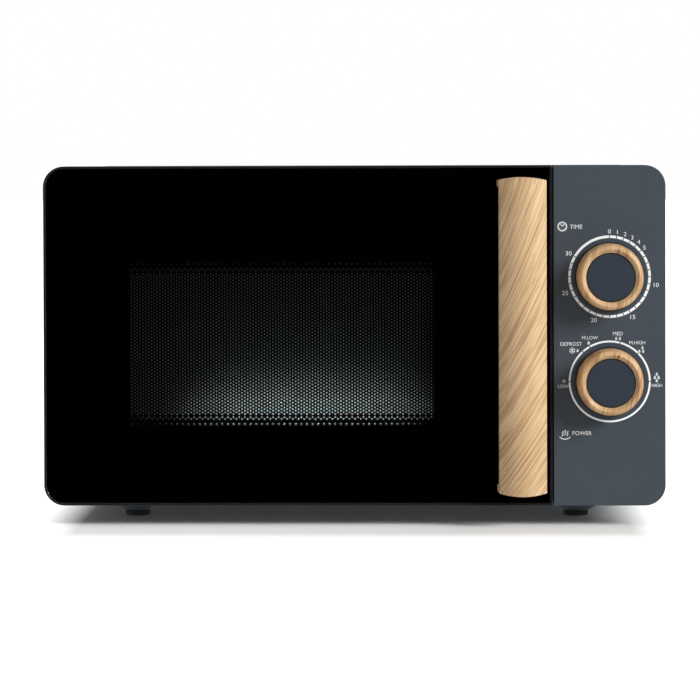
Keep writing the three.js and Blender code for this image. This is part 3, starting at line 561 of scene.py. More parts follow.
# %% Cover, rear panel and front plate
for name, node, rounding, steps, finish, slot in (
    ("cabinet_cover", "outer_cover", 0.25 * MM, 2, cabinet_paint, "slate_paint"),
    ("cabinet_rear", "rear_panel", 0.3 * MM, 2, cabinet_paint, "slate_paint"),
    ("cavity_face_plate", "front_frame", 0.25 * MM, 2, cavity_enamel, "cavity_enamel"),
    ("cord_grommet", "cord_bush", 0.4 * MM, 3, black_plastic, "black_plastic"),
):
    piece(name, from_node(node, rounding, steps), "cabinet", finish, [node])

# %% [markdown]
# ## Finish of the pieces that keep their engineering shape
# The machine inside is only glimpsed through vents or with the door open, so its shapes stay and each one
# gets the finish of what it is made of.

# %% Dress the nodes that stay
INSIDE = {
    zinc: "upper_hinge lower_hinge turntable_motor handle_screw_upper handle_screw_lower timer_unit "
    "timer_shaft power_shaft waveguide magnetron_yoke fan_motor",
    aluminium: "magnetron_filter_box capacitor",
    copper: "magnetron_tube transformer_primary transformer_secondary",
    laminations: "transformer_core",
    white_plastic: "turntable_coupler roller_ring roller_1 roller_2 roller_3 latch_board "
    "switch_plunger_upper switch_plunger_lower fan_shroud fan_blade lamp_holder",
    black_plastic: "latch_hooks door_switch_upper door_switch_lower high_voltage_diode door_choke_cover",
    cavity_enamel: "cavity_liner cavity_ceiling cavity_rear_wall",
    mica: "waveguide_cover",
    board_paper: "filter_board",
    bulb_glass: "lamp_bulb",
    pan_enamel: "door_inner_pan",
}
for finish, names in INSIDE.items():
    for name in names.split():
        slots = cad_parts[name].data.materials
        slots.clear()
        slots.append(finish)
print("dressed", sum(len(names.split()) for names in INSIDE.values()), "nodes")

# %% [markdown]
# ## Base plate and feet
# The base is a steel plate with four pressed cups that hang below it, and a rubber foot plugs into each
# cup. The cups and feet are turned about the foot's own axis, with many steps so that their rims read as
# true circles.

# %% Base plate with its cups, and the feet
FEET = [f"foot_{end}_{side}" for end in ("front", "rear") for side in ("left", "right")]
BASE_SHEET = 0.8 * MM
CUP_OPENING = 28 * MM
VENTS, VENT_PITCH, VENT_WIDTH = 10, 6 * MM, 3 * MM
VENT_LEFT, VENT_FRONT, VENT_BACK = 120 * MM, 20 * MM, 60 * MM
base_low, base_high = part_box("base_plate")
plate_low = base_high.z - BASE_SHEET
cup_floor = base_low.z


def foot_centre(name):
    low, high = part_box(name)
    return (low.x + high.x) / 2, (low.y + high.y) / 2


def pressed_cup(x, y):
    wall = [
        (4.4, cup_floor), (10.2, cup_floor), (11.4, cup_floor + 0.5 * MM), (26.6, plate_low - 0.9 * MM),
        (28.4, plate_low), (28.4, base_high.z), (26.2, base_high.z - 0.2 * MM),
        (10.8, cup_floor + 1.0 * MM), (4.4, cup_floor + 0.9 * MM),
    ]
    return shift(turned([(r * MM, z) for r, z in wall], steps=72), x, y)


def foot_shape(x, y):
    outline = [(0, 0.2), (7.9, 0.2), (8.3, 0), (8.9, 0.15), (9.4, 0.8), (9.5, 3.4), (9.2, 4.0), (0, 4.0)]
    return shift(turned([(r * MM, z * MM) for r, z in outline], steps=64, closed=False), x, y)


through = plate_low - MM, base_high.z + MM
drills = [shift(rod(CUP_OPENING, *through), *foot_centre(name)) for name in FEET]
vent_lefts = [VENT_LEFT + VENT_PITCH * i for i in range(VENTS)]
floor_vents = [block(x, x + VENT_WIDTH, VENT_FRONT, VENT_BACK, *through) for x in vent_lefts]
base_sheet = block(base_low.x, base_high.x, base_low.y, base_high.y, plate_low, base_high.z)
base_sheet = carve(base_sheet, *drills, *floor_vents)
cups = [pressed_cup(*foot_centre(name)) for name in FEET]
piece("base_pressing", gather(base_sheet, *cups), "cabinet", cabinet_paint, ["base_plate"])
for name in FEET:
    pad = foot_shape(*foot_centre(name))
    piece(name.replace("foot", "foot_pad"), pad, "cabinet", foot_rubber, [name])

# %% [markdown]
# ## Control panel
# The panel is a painted moulding with a generous radius on its two right-hand corners and a fine rounding
# all round its face. It is a plate bevelled along its front edge and hollowed from behind.

# %% Control panel moulding
panel_low, panel_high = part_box("control_panel")
CORNER, CORNER_BY_DOOR = 15 * MM, 0.5 * MM
WALL = 2.5 * MM
BORE, BORE_REACH = 4 * MM, 5 * MM
panel = plate(
    panel_low.x, panel_high.x, panel_low.y, panel_high.y, panel_low.z, panel_high.z,
    (CORNER_BY_DOOR, CORNER, CORNER, CORNER_BY_DOOR), 16,
)
soften(panel, 0.9 * MM, 4, 60, lambda p: p.y < panel_low.y + 0.1 * MM)
hollow = plate(
    panel_low.x + WALL, panel_high.x - WALL, panel_low.y + WALL, panel_high.y + WALL,
    panel_low.z + WALL, panel_high.z - WALL, (0, CORNER - WALL, CORNER - WALL, 0), 16,
)
knob_axis = {}
bores = []
for name in ("timer", "power"):
    low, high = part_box(f"{name}_knob_ring")
    knob_axis[name] = Vector(((low.x + high.x) / 2, panel_low.y, (low.z + high.z) / 2))
    bores.append(shift(rod(BORE, -BORE_REACH, BORE_REACH, "back", 40), *knob_axis[name]))
panel = carve(panel, hollow, *bores)
piece("panel_moulding", panel, "cabinet", panel_paint, ["control_panel"])
print("knob axes", {name: [round(c / MM, 1) for c in at] for name, at in knob_axis.items()})

# %% [markdown]
# ## Knobs
# Each knob is an oak ring round a slate disc that sits a little lower than the ring, with a thin black
# skirt between the ring and the panel. The skirt is partly the knob's flange and partly painted shade: its
# black stands in for the shadow in the gap behind the ring. All three are turned shapes. The ring's outside
# tapers towards the user, and its inside has a wide chamfer down to the disc. The pointer is a thin inlaid
# line that follows the ring's curved top, made by spinning the same profile over a very small angle.

# %% Oak rings, slate discs, skirts that paint the shade behind the rings, and pointer lines
REACH = panel_low.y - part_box("timer_knob_ring")[0].y
RING_IN, RING_OUT, SHADOW_SKIRT = 17.8 * MM, 24.2 * MM, 25.1 * MM
DISC = REACH - 2.0 * MM
DISC_WALL = RING_IN - 2 * MM
BOSS, SHAFT_HOLE, SHAFT_END = 6 * MM, 3.3 * MM, 12.6 * MM
POINTER, POINTER_WIDTH = math.radians(15), 0.7 * MM
ring_inner_top = [
    (RING_OUT - 3.1 * MM, REACH - 0.05 * MM), (RING_IN + 2.7 * MM, REACH),
    (RING_IN + 2.1 * MM, REACH - 0.15 * MM), (RING_IN + 0.2 * MM, REACH - 2.0 * MM),
]
ring_profile = [
    (RING_IN, 2.7 * MM), (RING_OUT - 0.5 * MM, 2.7 * MM), (RING_OUT, 3.2 * MM), (RING_OUT, 5 * MM),
    (RING_OUT - 0.25 * MM, 10 * MM), (RING_OUT - 0.7 * MM, REACH - 3.2 * MM),
    (RING_OUT - 1.2 * MM, REACH - 1.7 * MM), (RING_OUT - 2.0 * MM, REACH - 0.6 * MM),
    *ring_inner_top, (RING_IN, REACH - 2.4 * MM),
]
disc_profile = [
    (0, DISC), (RING_IN - 1.3 * MM, DISC), (RING_IN - 0.7 * MM, DISC - 0.15 * MM),
    (RING_IN - 0.35 * MM, DISC - 0.7 * MM), (RING_IN - 0.3 * MM, DISC - 1.6 * MM),
    (RING_IN - 0.3 * MM, 2.5 * MM), (DISC_WALL, 2.5 * MM), (DISC_WALL, DISC - 2.5 * MM),
    (BOSS, DISC - 2.5 * MM), (BOSS, 1.5 * MM), (SHAFT_HOLE, 1.5 * MM), (SHAFT_HOLE, SHAFT_END),
    (0, SHAFT_END),
]
# The skirt is partly the knob's flange and partly painted shade: it is black to paint the shadow in the gap
# between the oak ring and the panel.
shadow_skirt_profile = [
    (DISC_WALL, 1.2 * MM), (SHADOW_SKIRT - 0.2 * MM, 1.2 * MM), (SHADOW_SKIRT, 1.4 * MM), (SHADOW_SKIRT, 2.1 * MM),
    (SHADOW_SKIRT - 0.3 * MM, 2.4 * MM), (DISC_WALL, 2.4 * MM),
]


def pointer_line():
    """A strip that lies on the inner half of the ring's top, at the top of the knob, and down its chamfer."""
    proud = 0.06 * MM
    chamfer_starts = RING_IN + 2.4 * MM
    top = [(r - (proud if r < chamfer_starts else 0), h + proud) for r, h in ring_inner_top]
    under = [(r + 2 * proud, h - 3 * proud) for r, h in reversed(top)]
    sweep = POINTER_WIDTH / (RING_IN + 2 * MM)
    strip = turned([*top, *under], steps=2, turn=sweep)
    cap_ends(strip)
    bmesh.ops.rotate(strip, matrix=Matrix.Rotation(math.pi / 2 - sweep / 2, 3, "Z"), verts=strip.verts)
    bmesh.ops.rotate(strip, matrix=Matrix.Rotation(math.pi / 2, 3, "X"), verts=strip.verts)
    return strip


def at_rest(bm):
    """Turns a knob piece to where the knob points at rest."""
    bmesh.ops.rotate(bm, matrix=Matrix.Rotation(POINTER, 3, "Y"), verts=bm.verts)
    return bm


for name, wood in (("timer", timer_oak), ("power", power_oak)):
    axis = knob_axis[name]
    body = f"{name}_knob"
    ring = shift(turned(ring_profile, "front", 128), *axis)
    disc = shift(turned(disc_profile, "front", 96, closed=False), *axis)
    shadow_skirt = shift(turned(shadow_skirt_profile, "front", 96), *axis)
    pointer = shift(at_rest(pointer_line()), *axis)
    piece(f"{name}_oak_ring", ring, body, wood, [f"{name}_knob_ring"])
    piece(f"{name}_disc", disc, body, disc_paint, [f"{name}_knob_core"])
    # The black skirt paints the shade in the gap behind the ring.
    piece(f"{name}_skirt", shadow_skirt, body, black_plastic)
    piece(f"{name}_pointer", pointer, body, mark_ink)

# %% [markdown]
# ## Printing on the panel
# The scales are screen printed, so they are film-thin: rings, letters and small symbols 0.04 mm thick that
# lie on the paint, and ticks a little thicker on top of the rings. The timer's ring carries a tick for
# every minute up to thirty, ten degrees apart. Letters come from Blender's own font, are made a mesh and
# scaled to their real cap height.

# %% Printing helpers
INK = 0.04 * MM
FACE = panel_low.y
CAPITALS = 0.73
LETTER_DEPTH = 0.04


def flat_ring(x, z, inside, outside, start=0.0, sweep=2 * math.pi, steps=144):
    """A printed band round (x, z). Angles are clockwise from the top, as on a dial."""
    section = [(inside, 0), (outside, 0), (outside, INK), (inside, INK)]
    band = turned(section, steps=steps, turn=sweep)
    if sweep < 2 * math.pi - 1e-6:
        cap_ends(band)
    bmesh.ops.rotate(band, matrix=Matrix.Rotation(math.pi / 2, 3, "X"), verts=band.verts)
    bmesh.ops.rotate(band, matrix=Matrix.Rotation(start + sweep - math.pi / 2, 3, "Y"), verts=band.verts)
    return shift(band, x, FACE, z)


def stroke(x, z, width, height, clockwise=0.0, out=0.0, thick=INK):
    """A printed bar. Its middle is moved out along its own length, and it is then turned clockwise."""
    bar = block(-width / 2, width / 2, -thick, 0, out - height / 2, out + height / 2)
    bmesh.ops.rotate(bar, matrix=Matrix.Rotation(clockwise, 3, "Y"), verts=bar.verts)
    return shift(bar, x, FACE, z)


def dot(x, z, radius):
    return shift(rod(radius, 0, INK, "front", 20), x, FACE, z)


def lettering(text, x, z, cap_height, stretch=1.0):
    """Letters centred on (x, z), made a little thinner than the font draws them."""
    curve = bpy.data.curves.new("letters", "FONT")
    curve.body, curve.extrude, curve.offset, curve.resolution_u = text, LETTER_DEPTH / 2, -0.006, 3
    carrier = bpy.data.objects.new("letters", curve)
    scene.collection.objects.link(carrier)
    letters = bpy.data.meshes.new_from_object(carrier.evaluated_get(bpy.context.evaluated_depsgraph_get()))
    bm = bmesh.new()
    bm.from_mesh(letters)
    bpy.data.meshes.remove(letters)
    bpy.data.objects.remove(carrier)
    bpy.data.curves.remove(curve)
    size = cap_height / CAPITALS
    bmesh.ops.scale(bm, vec=(size * stretch, size, INK / LETTER_DEPTH), verts=bm.verts)
    xs = [v.co.x for v in bm.verts]
    bmesh.ops.translate(bm, vec=(-(min(xs) + max(xs)) / 2, -cap_height / 2, INK / 2), verts=bm.verts)
    bmesh.ops.rotate(bm, matrix=Matrix.Rotation(math.pi / 2, 3, "X"), verts=bm.verts)
    return shift(bm, x, FACE, z)


# %% [markdown]
# The power symbols are small generic ones: a snowflake with a drop for defrosting, and one to four drops of
# heat.

# %% Scales, words and symbols
timer_at, power_at = knob_axis["timer"], knob_axis["power"]
SCALE_IN, SCALE_OUT = 28.05 * MM, 29.9 * MM
NUMBERS_AT, WIDER_AT_SIDES = 32.9 * MM, 1.4 * MM
TICKS_AT = 28.9 * MM
MINUTE = math.radians(10)

timer_print = [flat_ring(timer_at.x, timer_at.z, SCALE_IN, SCALE_OUT)]
for minutes in (0, 1, 2, 3, 4, 5, 10, 15, 20, 25, 30):
    turn = minutes * MINUTE
    reach = NUMBERS_AT + (WIDER_AT_SIDES * abs(math.sin(turn)) if minutes > 9 else 0)
    x, z = timer_at.x + reach * math.sin(turn), timer_at.z + reach * math.cos(turn)
    timer_print.append(lettering(str(minutes), x, z, 3.25 * MM, 1.08))
piece("timer_scale", gather(*timer_print), "cabinet", white_ink)

power_print = [flat_ring(power_at.x, power_at.z, SCALE_IN + 0.3 * MM, SCALE_OUT - 0.2 * MM)]
# Each word with its middle and its cap height in millimetres.
WORDS = [
    ("TIME", 161.3, 217.5, 3.2), ("POWER", 165.4, 67.8, 3.05), ("DEFROST", 157.6, 132.5, 2.8),
    ("M.LOW", 171.2, 137.0, 2.6), ("MED", 191.4, 140.0, 2.75), ("M.HIGH", 205.5, 133.4, 2.6),
    ("HIGH", 219.6, 102.4, 2.4), ("LOW", 152.0, 101.8, 2.6),
]
for word, x, z, cap in WORDS:
    power_print.append(lettering(word, x * MM, z * MM, cap * MM, 0.98))
piece("power_scale", gather(*power_print), "cabinet", white_ink)


def tick_marks(at, turns, name):
    marks = [stroke(at.x, at.z, 0.75 * MM, 1.5 * MM, turn, TICKS_AT, 1.6 * INK) for turn in turns]
    piece(name, gather(*marks), "cabinet", tick_ink)


tick_marks(timer_at, [minute * MINUTE for minute in range(31)], "timer_ticks")
tick_marks(power_at, [math.radians(a) for a in (-90, -42, -30, 15, 45, 90)], "power_ticks")


def clock_symbol(x, z):
    hands = [
        stroke(x, z, 0.5 * MM, 2.4 * MM, math.radians(-38), 0.9 * MM),
        stroke(x, z, 0.5 * MM, 2.7 * MM, math.radians(38), 1.1 * MM),
    ]
    hours = [stroke(x, z, 0.35 * MM, 0.7 * MM, math.radians(30 * i), 2.5 * MM) for i in range(12)]
    return [flat_ring(x, z, 2.95 * MM, 3.5 * MM, steps=48), *hands, *hours]


def snowflake_symbol(x, z):
    arms = [stroke(x, z, 0.45 * MM, 4.4 * MM, math.radians(60 * i)) for i in range(3)]
    barbs = []
    for turn in [math.radians(60 * i) for i in range(6)]:
        fork_x, fork_z = x + 1.4 * MM * math.sin(turn), z + 1.4 * MM * math.cos(turn)
        for lean in (math.radians(-45), math.radians(45)):
            barbs.append(stroke(fork_x, fork_z, 0.36 * MM, 1.1 * MM, turn + lean, 0.4 * MM))
    return arms + barbs


def drop_symbol(x, z, size):
    """A round drop with a pointed top, made of a disc and a bar that stands on its corner."""
    radius = 0.72 * MM * size
    side = radius * 1.41
    tip = stroke(x, z, side, side, math.radians(45))
    bmesh.ops.scale(tip, vec=(1, 1, 1.3), space=Matrix.Translation((-x, -FACE, -z)), verts=tip.verts)
    return [dot(x, z - 0.35 * radius, radius), shift(tip, 0, 0, 0.45 * radius)]


def steam_symbol(x, z):
    """Three rising wisps over a dish."""
    wisps = []
    for i, lift in ((-1, 0.0), (0, 0.9), (1, 0.2)):
        for part, lean in ((0, 34), (1, -26), (2, 34)):
            wisp_x, wisp_z = x + (i * 1.75 + 0.12 * part) * MM, z + (lift + 1.2 * part) * MM
            wisps.append(stroke(wisp_x, wisp_z, 0.55 * MM, 1.6 * MM, math.radians(lean)))
    dish = flat_ring(x, z + 2.9 * MM, 5.3 * MM, 5.9 * MM, math.radians(136), math.radians(88), 24)
    return [*wisps, dish]


# Each drop with its place and size in millimetres, from DEFROST and M.LOW clockwise to HIGH.
DROPS = [
    (162.3, 127.5, 1.15), (170.3, 133.1, 1.25),
    (190.2, 136.3, 1.15), (192.9, 136.3, 1.15),
    (206.9, 127.0, 1.15), (209.7, 127.0, 1.15), (209.2, 129.6, 1.15),
    (218.1, 108.0, 1.15), (220.9, 108.0, 1.15), (219.5, 105.7, 1.15), (219.5, 110.4, 1.15),
]
symbols = [
    *clock_symbol(151.3 * MM, 217.6 * MM),
    *snowflake_symbol(158.4 * MM, 127.6 * MM),
    stroke(152.4 * MM, 106.0 * MM, 1.9 * MM, 0.4 * MM),
    stroke(152.4 * MM, 104.8 * MM, 2.4 * MM, 0.4 * MM),
    *steam_symbol(153.0 * MM, 66.0 * MM),
]
for x, z, size in DROPS:
    symbols += drop_symbol(x * MM, z * MM, size)
piece("panel_symbols", gather(*symbols), "cabinet", white_ink)

# %% [markdown]
# ## The door
# The door's surround is a black moulding. It is a finer copy of the engineering node, and its outer front
# rim is rounded by a millimetre so that it draws the thin grey line of light that a black door shows at its
# edge.

# %% Door surround
door_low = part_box("door_frame")[0]
surround = bmesh.new()
surround.from_mesh(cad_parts["door_frame"].data)
clean(surround)
soften(surround, 0.8 * MM, 4, 40, lambda p: p.y < door_low.y + 0.1 * MM)
piece("door_surround", surround, "door", surround_plastic, ["door_frame"])

# %% [markdown]
# The pane is a plate with its arrises ground off. Behind it lies the black print: a film with a hole in it
# where the window is. Seen from the front the two read as one sheet of black glass with a clear window.

# %% Pane and its black print
pane_low, pane_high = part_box("door_glass")
screen_low, screen_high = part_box("door_screen")
window = (screen_low.x + 3 * MM, screen_high.x - 4 * MM, screen_low.z + 4 * MM, screen_high.z - 4 * MM)
PRINT, PRINT_GAP = 0.12 * MM, 0.01 * MM
pane_corners = (13.3 * MM, 1 * MM, 1 * MM, 13.3 * MM)
pane = plate(
    pane_low.x, pane_high.x, pane_low.y, pane_high.y - PRINT, pane_low.z, pane_high.z,
    pane_corners, 16,
)
soften(pane, 0.35 * MM, 2, 60)
piece("door_pane", pane, "door", pane_glass, ["door_glass"])
film = plate(
    pane_low.x, pane_high.x, pane_high.y - PRINT + PRINT_GAP, pane_high.y, pane_low.z, pane_high.z,
    pane_corners, 16,
)
opening = plate(window[0], window[1], pane_low.y, pane_high.y + MM, window[2], window[3], (0.5 * MM,) * 4, 6)
film = carve(film, opening)
piece("door_pane_print", film, "door", glass_print)

# %% [markdown]
# ## The perforated screen
# Microwaves can't pass holes much smaller than their wavelength, so the window is a steel sheet with
# thousands of holes 1.3 mm wide in a triangular lattice. Each hole lies in its own six-sided cell. One cell
# is a flat ring between two six-sided circles. A column of cells is repeated across the window with an
# Array, and every second column sits half a pitch lower. The joined sheet is then thickened. A few rows
# near the top and bottom are left blank, as on the real sheet, and one more blank row at each end runs
# under the border. A six-sided hole needs only a few faces, and at this size the eye can't tell it from a
# round one.

# %% Perforated sheet
PITCH = 2.38 * MM
COLUMN = PITCH * math.sqrt(3) / 2
HOLE = 0.68 * MM
THICK = 0.4 * MM
HALF_ROWS = 98
BLANK = {-1, 1, 2, 5, 93, 96, 97, HALF_ROWS + 1}
SAME_POINT = 0.02 * MM
sheet_middle = Vector(((screen_low.x + screen_high.x) / 2, 0, (screen_low.z + screen_high.z) / 2))
columns = 2 * math.ceil((window[1] - window[0]) / (2 * COLUMN))
field_left = sheet_middle.x - (columns - 1) * COLUMN / 2
field_top = sheet_middle.z + HALF_ROWS * PITCH / 4


def cell(z, holed):
    bm = bmesh.new()
    rim = bmesh.ops.create_circle(bm, segments=6, radius=PITCH / math.sqrt(3), cap_ends=not holed)
    if holed:
        hole = bmesh.ops.create_circle(bm, segments=6, radius=HOLE)
        loops = list({e for v in rim["verts"] + hole["verts"] for e in v.link_edges})
        bmesh.ops.bridge_loops(bm, edges=loops)
    bmesh.ops.rotate(bm, matrix=Matrix.Rotation(math.pi / 6, 3, "Z"), verts=bm.verts)
    bmesh.ops.rotate(bm, matrix=Matrix.Rotation(math.pi / 2, 3, "X"), verts=bm.verts)
    return shift(bm, 0, 0, z)


def column_of_cells(odd):
    rows = [k for k in range(-1, HALF_ROWS + 2) if k % 2 == odd]
    column = gather(*[cell(-k * PITCH / 2, k not in BLANK) for k in rows])
    bmesh.ops.remove_doubles(column, verts=column.verts, dist=SAME_POINT)
    return column


def perforated_sheet():
    halves = []
    for odd in (0, 1):
        mesh = bpy.data.meshes.new("cells")
        column_of_cells(odd).to_mesh(mesh)
        thing = bpy.data.objects.new("cells", mesh)
        scene.collection.objects.link(thing)
        repeat = thing.modifiers.new("across", "ARRAY")
        repeat.count = columns // 2
        repeat.use_relative_offset = False
        repeat.use_constant_offset = True
        repeat.constant_offset_displace = (2 * COLUMN, 0, 0)
        bm = bmesh.new()
        bm.from_object(thing, bpy.context.evaluated_depsgraph_get())
        bpy.data.objects.remove(thing)
        bpy.data.meshes.remove(mesh)
        halves.append(shift(bm, odd * COLUMN))
    sheet = gather(*halves)
    bmesh.ops.remove_doubles(sheet, verts=sheet.verts, dist=SAME_POINT)
    bmesh.ops.recalc_face_normals(sheet, faces=sheet.faces)
    shift(sheet, field_left, screen_high.y, field_top)
    bmesh.ops.solidify(sheet, geom=sheet.faces[:], thickness=THICK)
    bmesh.ops.recalc_face_normals(sheet, faces=sheet.faces)
    return sheet


sheet = perforated_sheet()
spread = [(min(v.co[i] for v in sheet.verts), max(v.co[i] for v in sheet.verts)) for i in (0, 1, 2)]
print("sheet", [[round(c / MM, 2) for c in pair] for pair in spread])
piece("window_screen", sheet, "door", screen_enamel, ["door_screen"])
SIDE_COVER, END_COVER = 0.69 * MM, PITCH / 2
rim_plate = plate(
    screen_low.x, screen_high.x, screen_low.y + 0.05 * MM, screen_low.y + 0.15 * MM,
    screen_low.z, screen_high.z,
)
rim_hole = plate(
    spread[0][0] + SIDE_COVER, spread[0][1] - SIDE_COVER, screen_low.y - MM, screen_high.y + MM,
    spread[2][0] + END_COVER, spread[2][1] - END_COVER,
)
piece("window_screen_border", carve(rim_plate, rim_hole), "door", screen_enamel)

# %% [markdown]
# ## The handle
# The handle is a full-height oak bar. Its front is crowned, its top and bottom are gentle arcs, and the
# side away from the panel is hollowed from behind for the fingertips, which leaves a solid block at each
# end. The bar is the common part of two extrusions: its section, and its outline from the front. The finger
# hollow is then cut out and every edge is rounded, as a hand-sized wooden part must be.

# %% Oak handle
bar_low, bar_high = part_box("door_handle")
FOOT_LEFT = 1.3 * MM
BAR_LEFT, BAR_RIGHT = bar_low.x + FOOT_LEFT, bar_high.x
CHEEK = bar_low.y + 7 * MM
CROWN, ARC = 6.9 * MM, 2.4 * MM
HOLLOW_RIGHT, END_BLOCK = 23.3 * MM, 6.3 * MM
BEYOND = 10 * MM


def outline_slab(points, direction):
    bm = bmesh.new()
    face = bm.faces.new([bm.verts.new(p) for p in points])
    pushed = bmesh.ops.extrude_face_region(bm, geom=[face], use_keep_orig=True)
    moved = [g for g in pushed["geom"] if isinstance(g, bmesh.types.BMVert)]
    bmesh.ops.translate(bm, vec=direction, verts=moved)
    bmesh.ops.recalc_face_normals(bm, faces=bm.faces)
    return bm


def bowed(a, b, rise, steps=20):
    """Points from a to b along a shallow arc that stands out by rise at its middle."""
    return [(a + (b - a) * i / steps, rise * (1 - (2 * i / steps - 1) ** 2)) for i in range(steps + 1)]


crown = [(x, CHEEK - out, bar_low.z - BEYOND) for x, out in bowed(BAR_LEFT, BAR_RIGHT, CROWN)]
section = [(bar_low.x, bar_high.y, bar_low.z - BEYOND), *crown, (BAR_RIGHT, bar_high.y, bar_low.z - BEYOND)]
arc = bowed(bar_low.x - MM, BAR_RIGHT + MM, ARC)
front = [(x, bar_low.y - BEYOND, bar_low.z + ARC - out) for x, out in arc]
front += [(x, bar_low.y - BEYOND, bar_high.z - ARC + out) for x, out in reversed(arc)]
bar = carve(
    outline_slab(section, (0, 0, bar_high.z - bar_low.z + 2 * BEYOND)),
    outline_slab(front, (0, bar_high.y - bar_low.y + 2 * BEYOND, 0)),
    how="INTERSECT",
)
finger_hollow = block(
    bar_low.x - 5 * MM, bar_low.x + HOLLOW_RIGHT, CHEEK + 5 * MM, bar_high.y + MM,
    bar_low.z + END_BLOCK, bar_high.z - END_BLOCK,
)
soften(finger_hollow, 3 * MM, 4, 60)
bar = carve(bar, finger_hollow)
clean(bar)
soften(bar, 0.9 * MM, 3, 38)
piece("handle_oak_bar", bar, "door", handle_oak, ["door_handle"])

# %% [markdown]
# ## The latch spring
# A small coil spring presses the latch hooks down. Its top rests against the door and its bottom against
# the hooks, so on the oven it gets shorter as they lift. Here it is the engineering node with its doubles
# merged, riding on the door with a mesh of its own.

# %% Latch spring
coil = bmesh.new()
coil.from_mesh(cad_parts["latch_spring"].data)
bmesh.ops.remove_doubles(coil, verts=coil.verts, dist=2e-6)
latch_coil = piece("latch_coil", coil, "door", zinc, ["latch_spring"])
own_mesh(latch_coil)

# %% [markdown]
# ## Turntable tray
# The tray is pressed glass with a flat middle and a raised rim. It is spun in many steps, because its rim
# is one large circle that shows every flat.

# %% Glass tray
tray_low, tray_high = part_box("glass_turntable")
tray_at = (tray_low + tray_high) / 2
RADIUS = (tray_high.x - tray_low.x) / 2
RIM = 127.5
tray_profile = [
    (0, 0), (102, 0), (105, 0.3), (118, 3.2), (121, 4.4), (126.4, 11.2), (RIM, 12.6), (127.2, 13.3),
    (126.2, 13.5), (125, 13.2), (123.6, 12.0), (117, 7.4), (114.5, 6.6), (104, 4.2), (101, 4), (0, 4),
]
tray = turned([(r * RADIUS / RIM, z * MM) for r, z in tray_profile], steps=160, closed=False)
shift(tray, tray_at.x, tray_at.y, tray_low.z)
piece("glass_tray", tray, "tray", tray_glass, ["glass_turntable"])

# %% [markdown]
# ## Screws
# Pan-head screws hold the cover to the rear panel. A head is a shallow turned dome with a cross cut into
# it.

# %% Rear screws
rear_low, rear_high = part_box("rear_panel")
SHEET_BACK = rear_high.y - 6 * MM
SLOT_ACROSS, SLOT_ALONG = 0.35 * MM, 1.9 * MM


def screw_head(x, z):
    outline = [(0, 1.9), (1.6, 1.75), (2.8, 1.2), (3.4, 0.4), (3.5, 0.0), (0, 0)]
    dome = turned(outline, "back", 32, closed=False)
    bmesh.ops.scale(dome, vec=(MM, MM, MM), verts=dome.verts)
    for across, upwards in ((SLOT_ACROSS, SLOT_ALONG), (SLOT_ALONG, SLOT_ACROSS)):
        dome = carve(dome, block(-across, across, 0.9 * MM, 3 * MM, -upwards, upwards))
    return shift(dome, x, SHEET_BACK, z)


edge_x, edge_z = 9 * MM, 14 * MM
spots = [
    (rear_low.x + edge_x, rear_low.z + edge_z), (rear_high.x - edge_x, rear_low.z + edge_z),
    (rear_low.x + edge_x, rear_high.z - edge_z), (rear_high.x - edge_x, rear_high.z - edge_z),
    (0, rear_high.z - 7 * MM), (0, rear_low.z + 7 * MM),
]
piece("rear_screws", gather(*[screw_head(x, z) for x, z in spots]), "cabinet", zinc)

# %% [markdown]
# ## Studio
# The oven stands on a large white floor under a white sky, as in a product studio. The part of the studio
# straight in front of the oven is dark, because a glossy black door mirrors whatever stands there. One wide
# sun from the upper right models the knobs and the handle. The floor also glows, only in the camera's view.
# That glow is painted light: it is almost nothing at the oven's foot and full white a little way out, so it
# keeps the dark shade just under the oven and whites out the rest of the oven's shadow on the floor. A weak
# lamp in the cavity shines down on the foot of its rear wall.

# %% Floor, sky and lights
SKY_LIGHT = 0.46
SHADOW_HALF_WIDTH, SHADOW_HALF_DEPTH, SIDE_STEEPNESS = 0.2, 0.19, 2.5
SUN_LIGHT, SUN_WIDTH, SUN_DIRECTION = 3.4, math.radians(24), Vector((-0.745, 0.5, -0.447))
LAMP_AT, LAMP_AIM = (-0.045, 0.05, 0.12), (-0.045, 0.16, 0.03)
LAMP_WIDTH, LAMP_HEIGHT, LAMP_SPREAD, LAMP_POWER = 0.16, 0.03, math.radians(45), 0.07
floor_bm = bmesh.new()
bmesh.ops.create_circle(floor_bm, cap_ends=True, segments=64, radius=14)
floor_mesh = bpy.data.meshes.new("studio_floor")
floor_bm.to_mesh(floor_mesh)
floor_bm.free()
floor = bpy.data.objects.new("studio_floor", floor_mesh)
scene.collection.objects.link(floor)
floor_paint = Finish("studio_floor_paint", (0.93, 0.93, 0.92), 0.6)
floor_paint.rough(floor_paint.noise(3, 4), 0.5, 0.65)
beyond = floor_paint.mapped((SIDE_STEEPNESS, 1, 0))
shadow = (SHADOW_HALF_WIDTH * SIDE_STEEPNESS, SHADOW_HALF_DEPTH, 0)
for step, amount in (("ABSOLUTE", None), ("SUBTRACT", shadow), ("MAXIMUM", (0, 0, 0)), ("LENGTH", None)):
    outside = floor_paint.tree.nodes.new("ShaderNodeVectorMath")
    outside.operation = step
    floor_paint.join(beyond, outside.inputs[0])
    if amount:
        outside.inputs[1].default_value = amount
    beyond = outside.outputs["Value" if step == "LENGTH" else "Vector"]
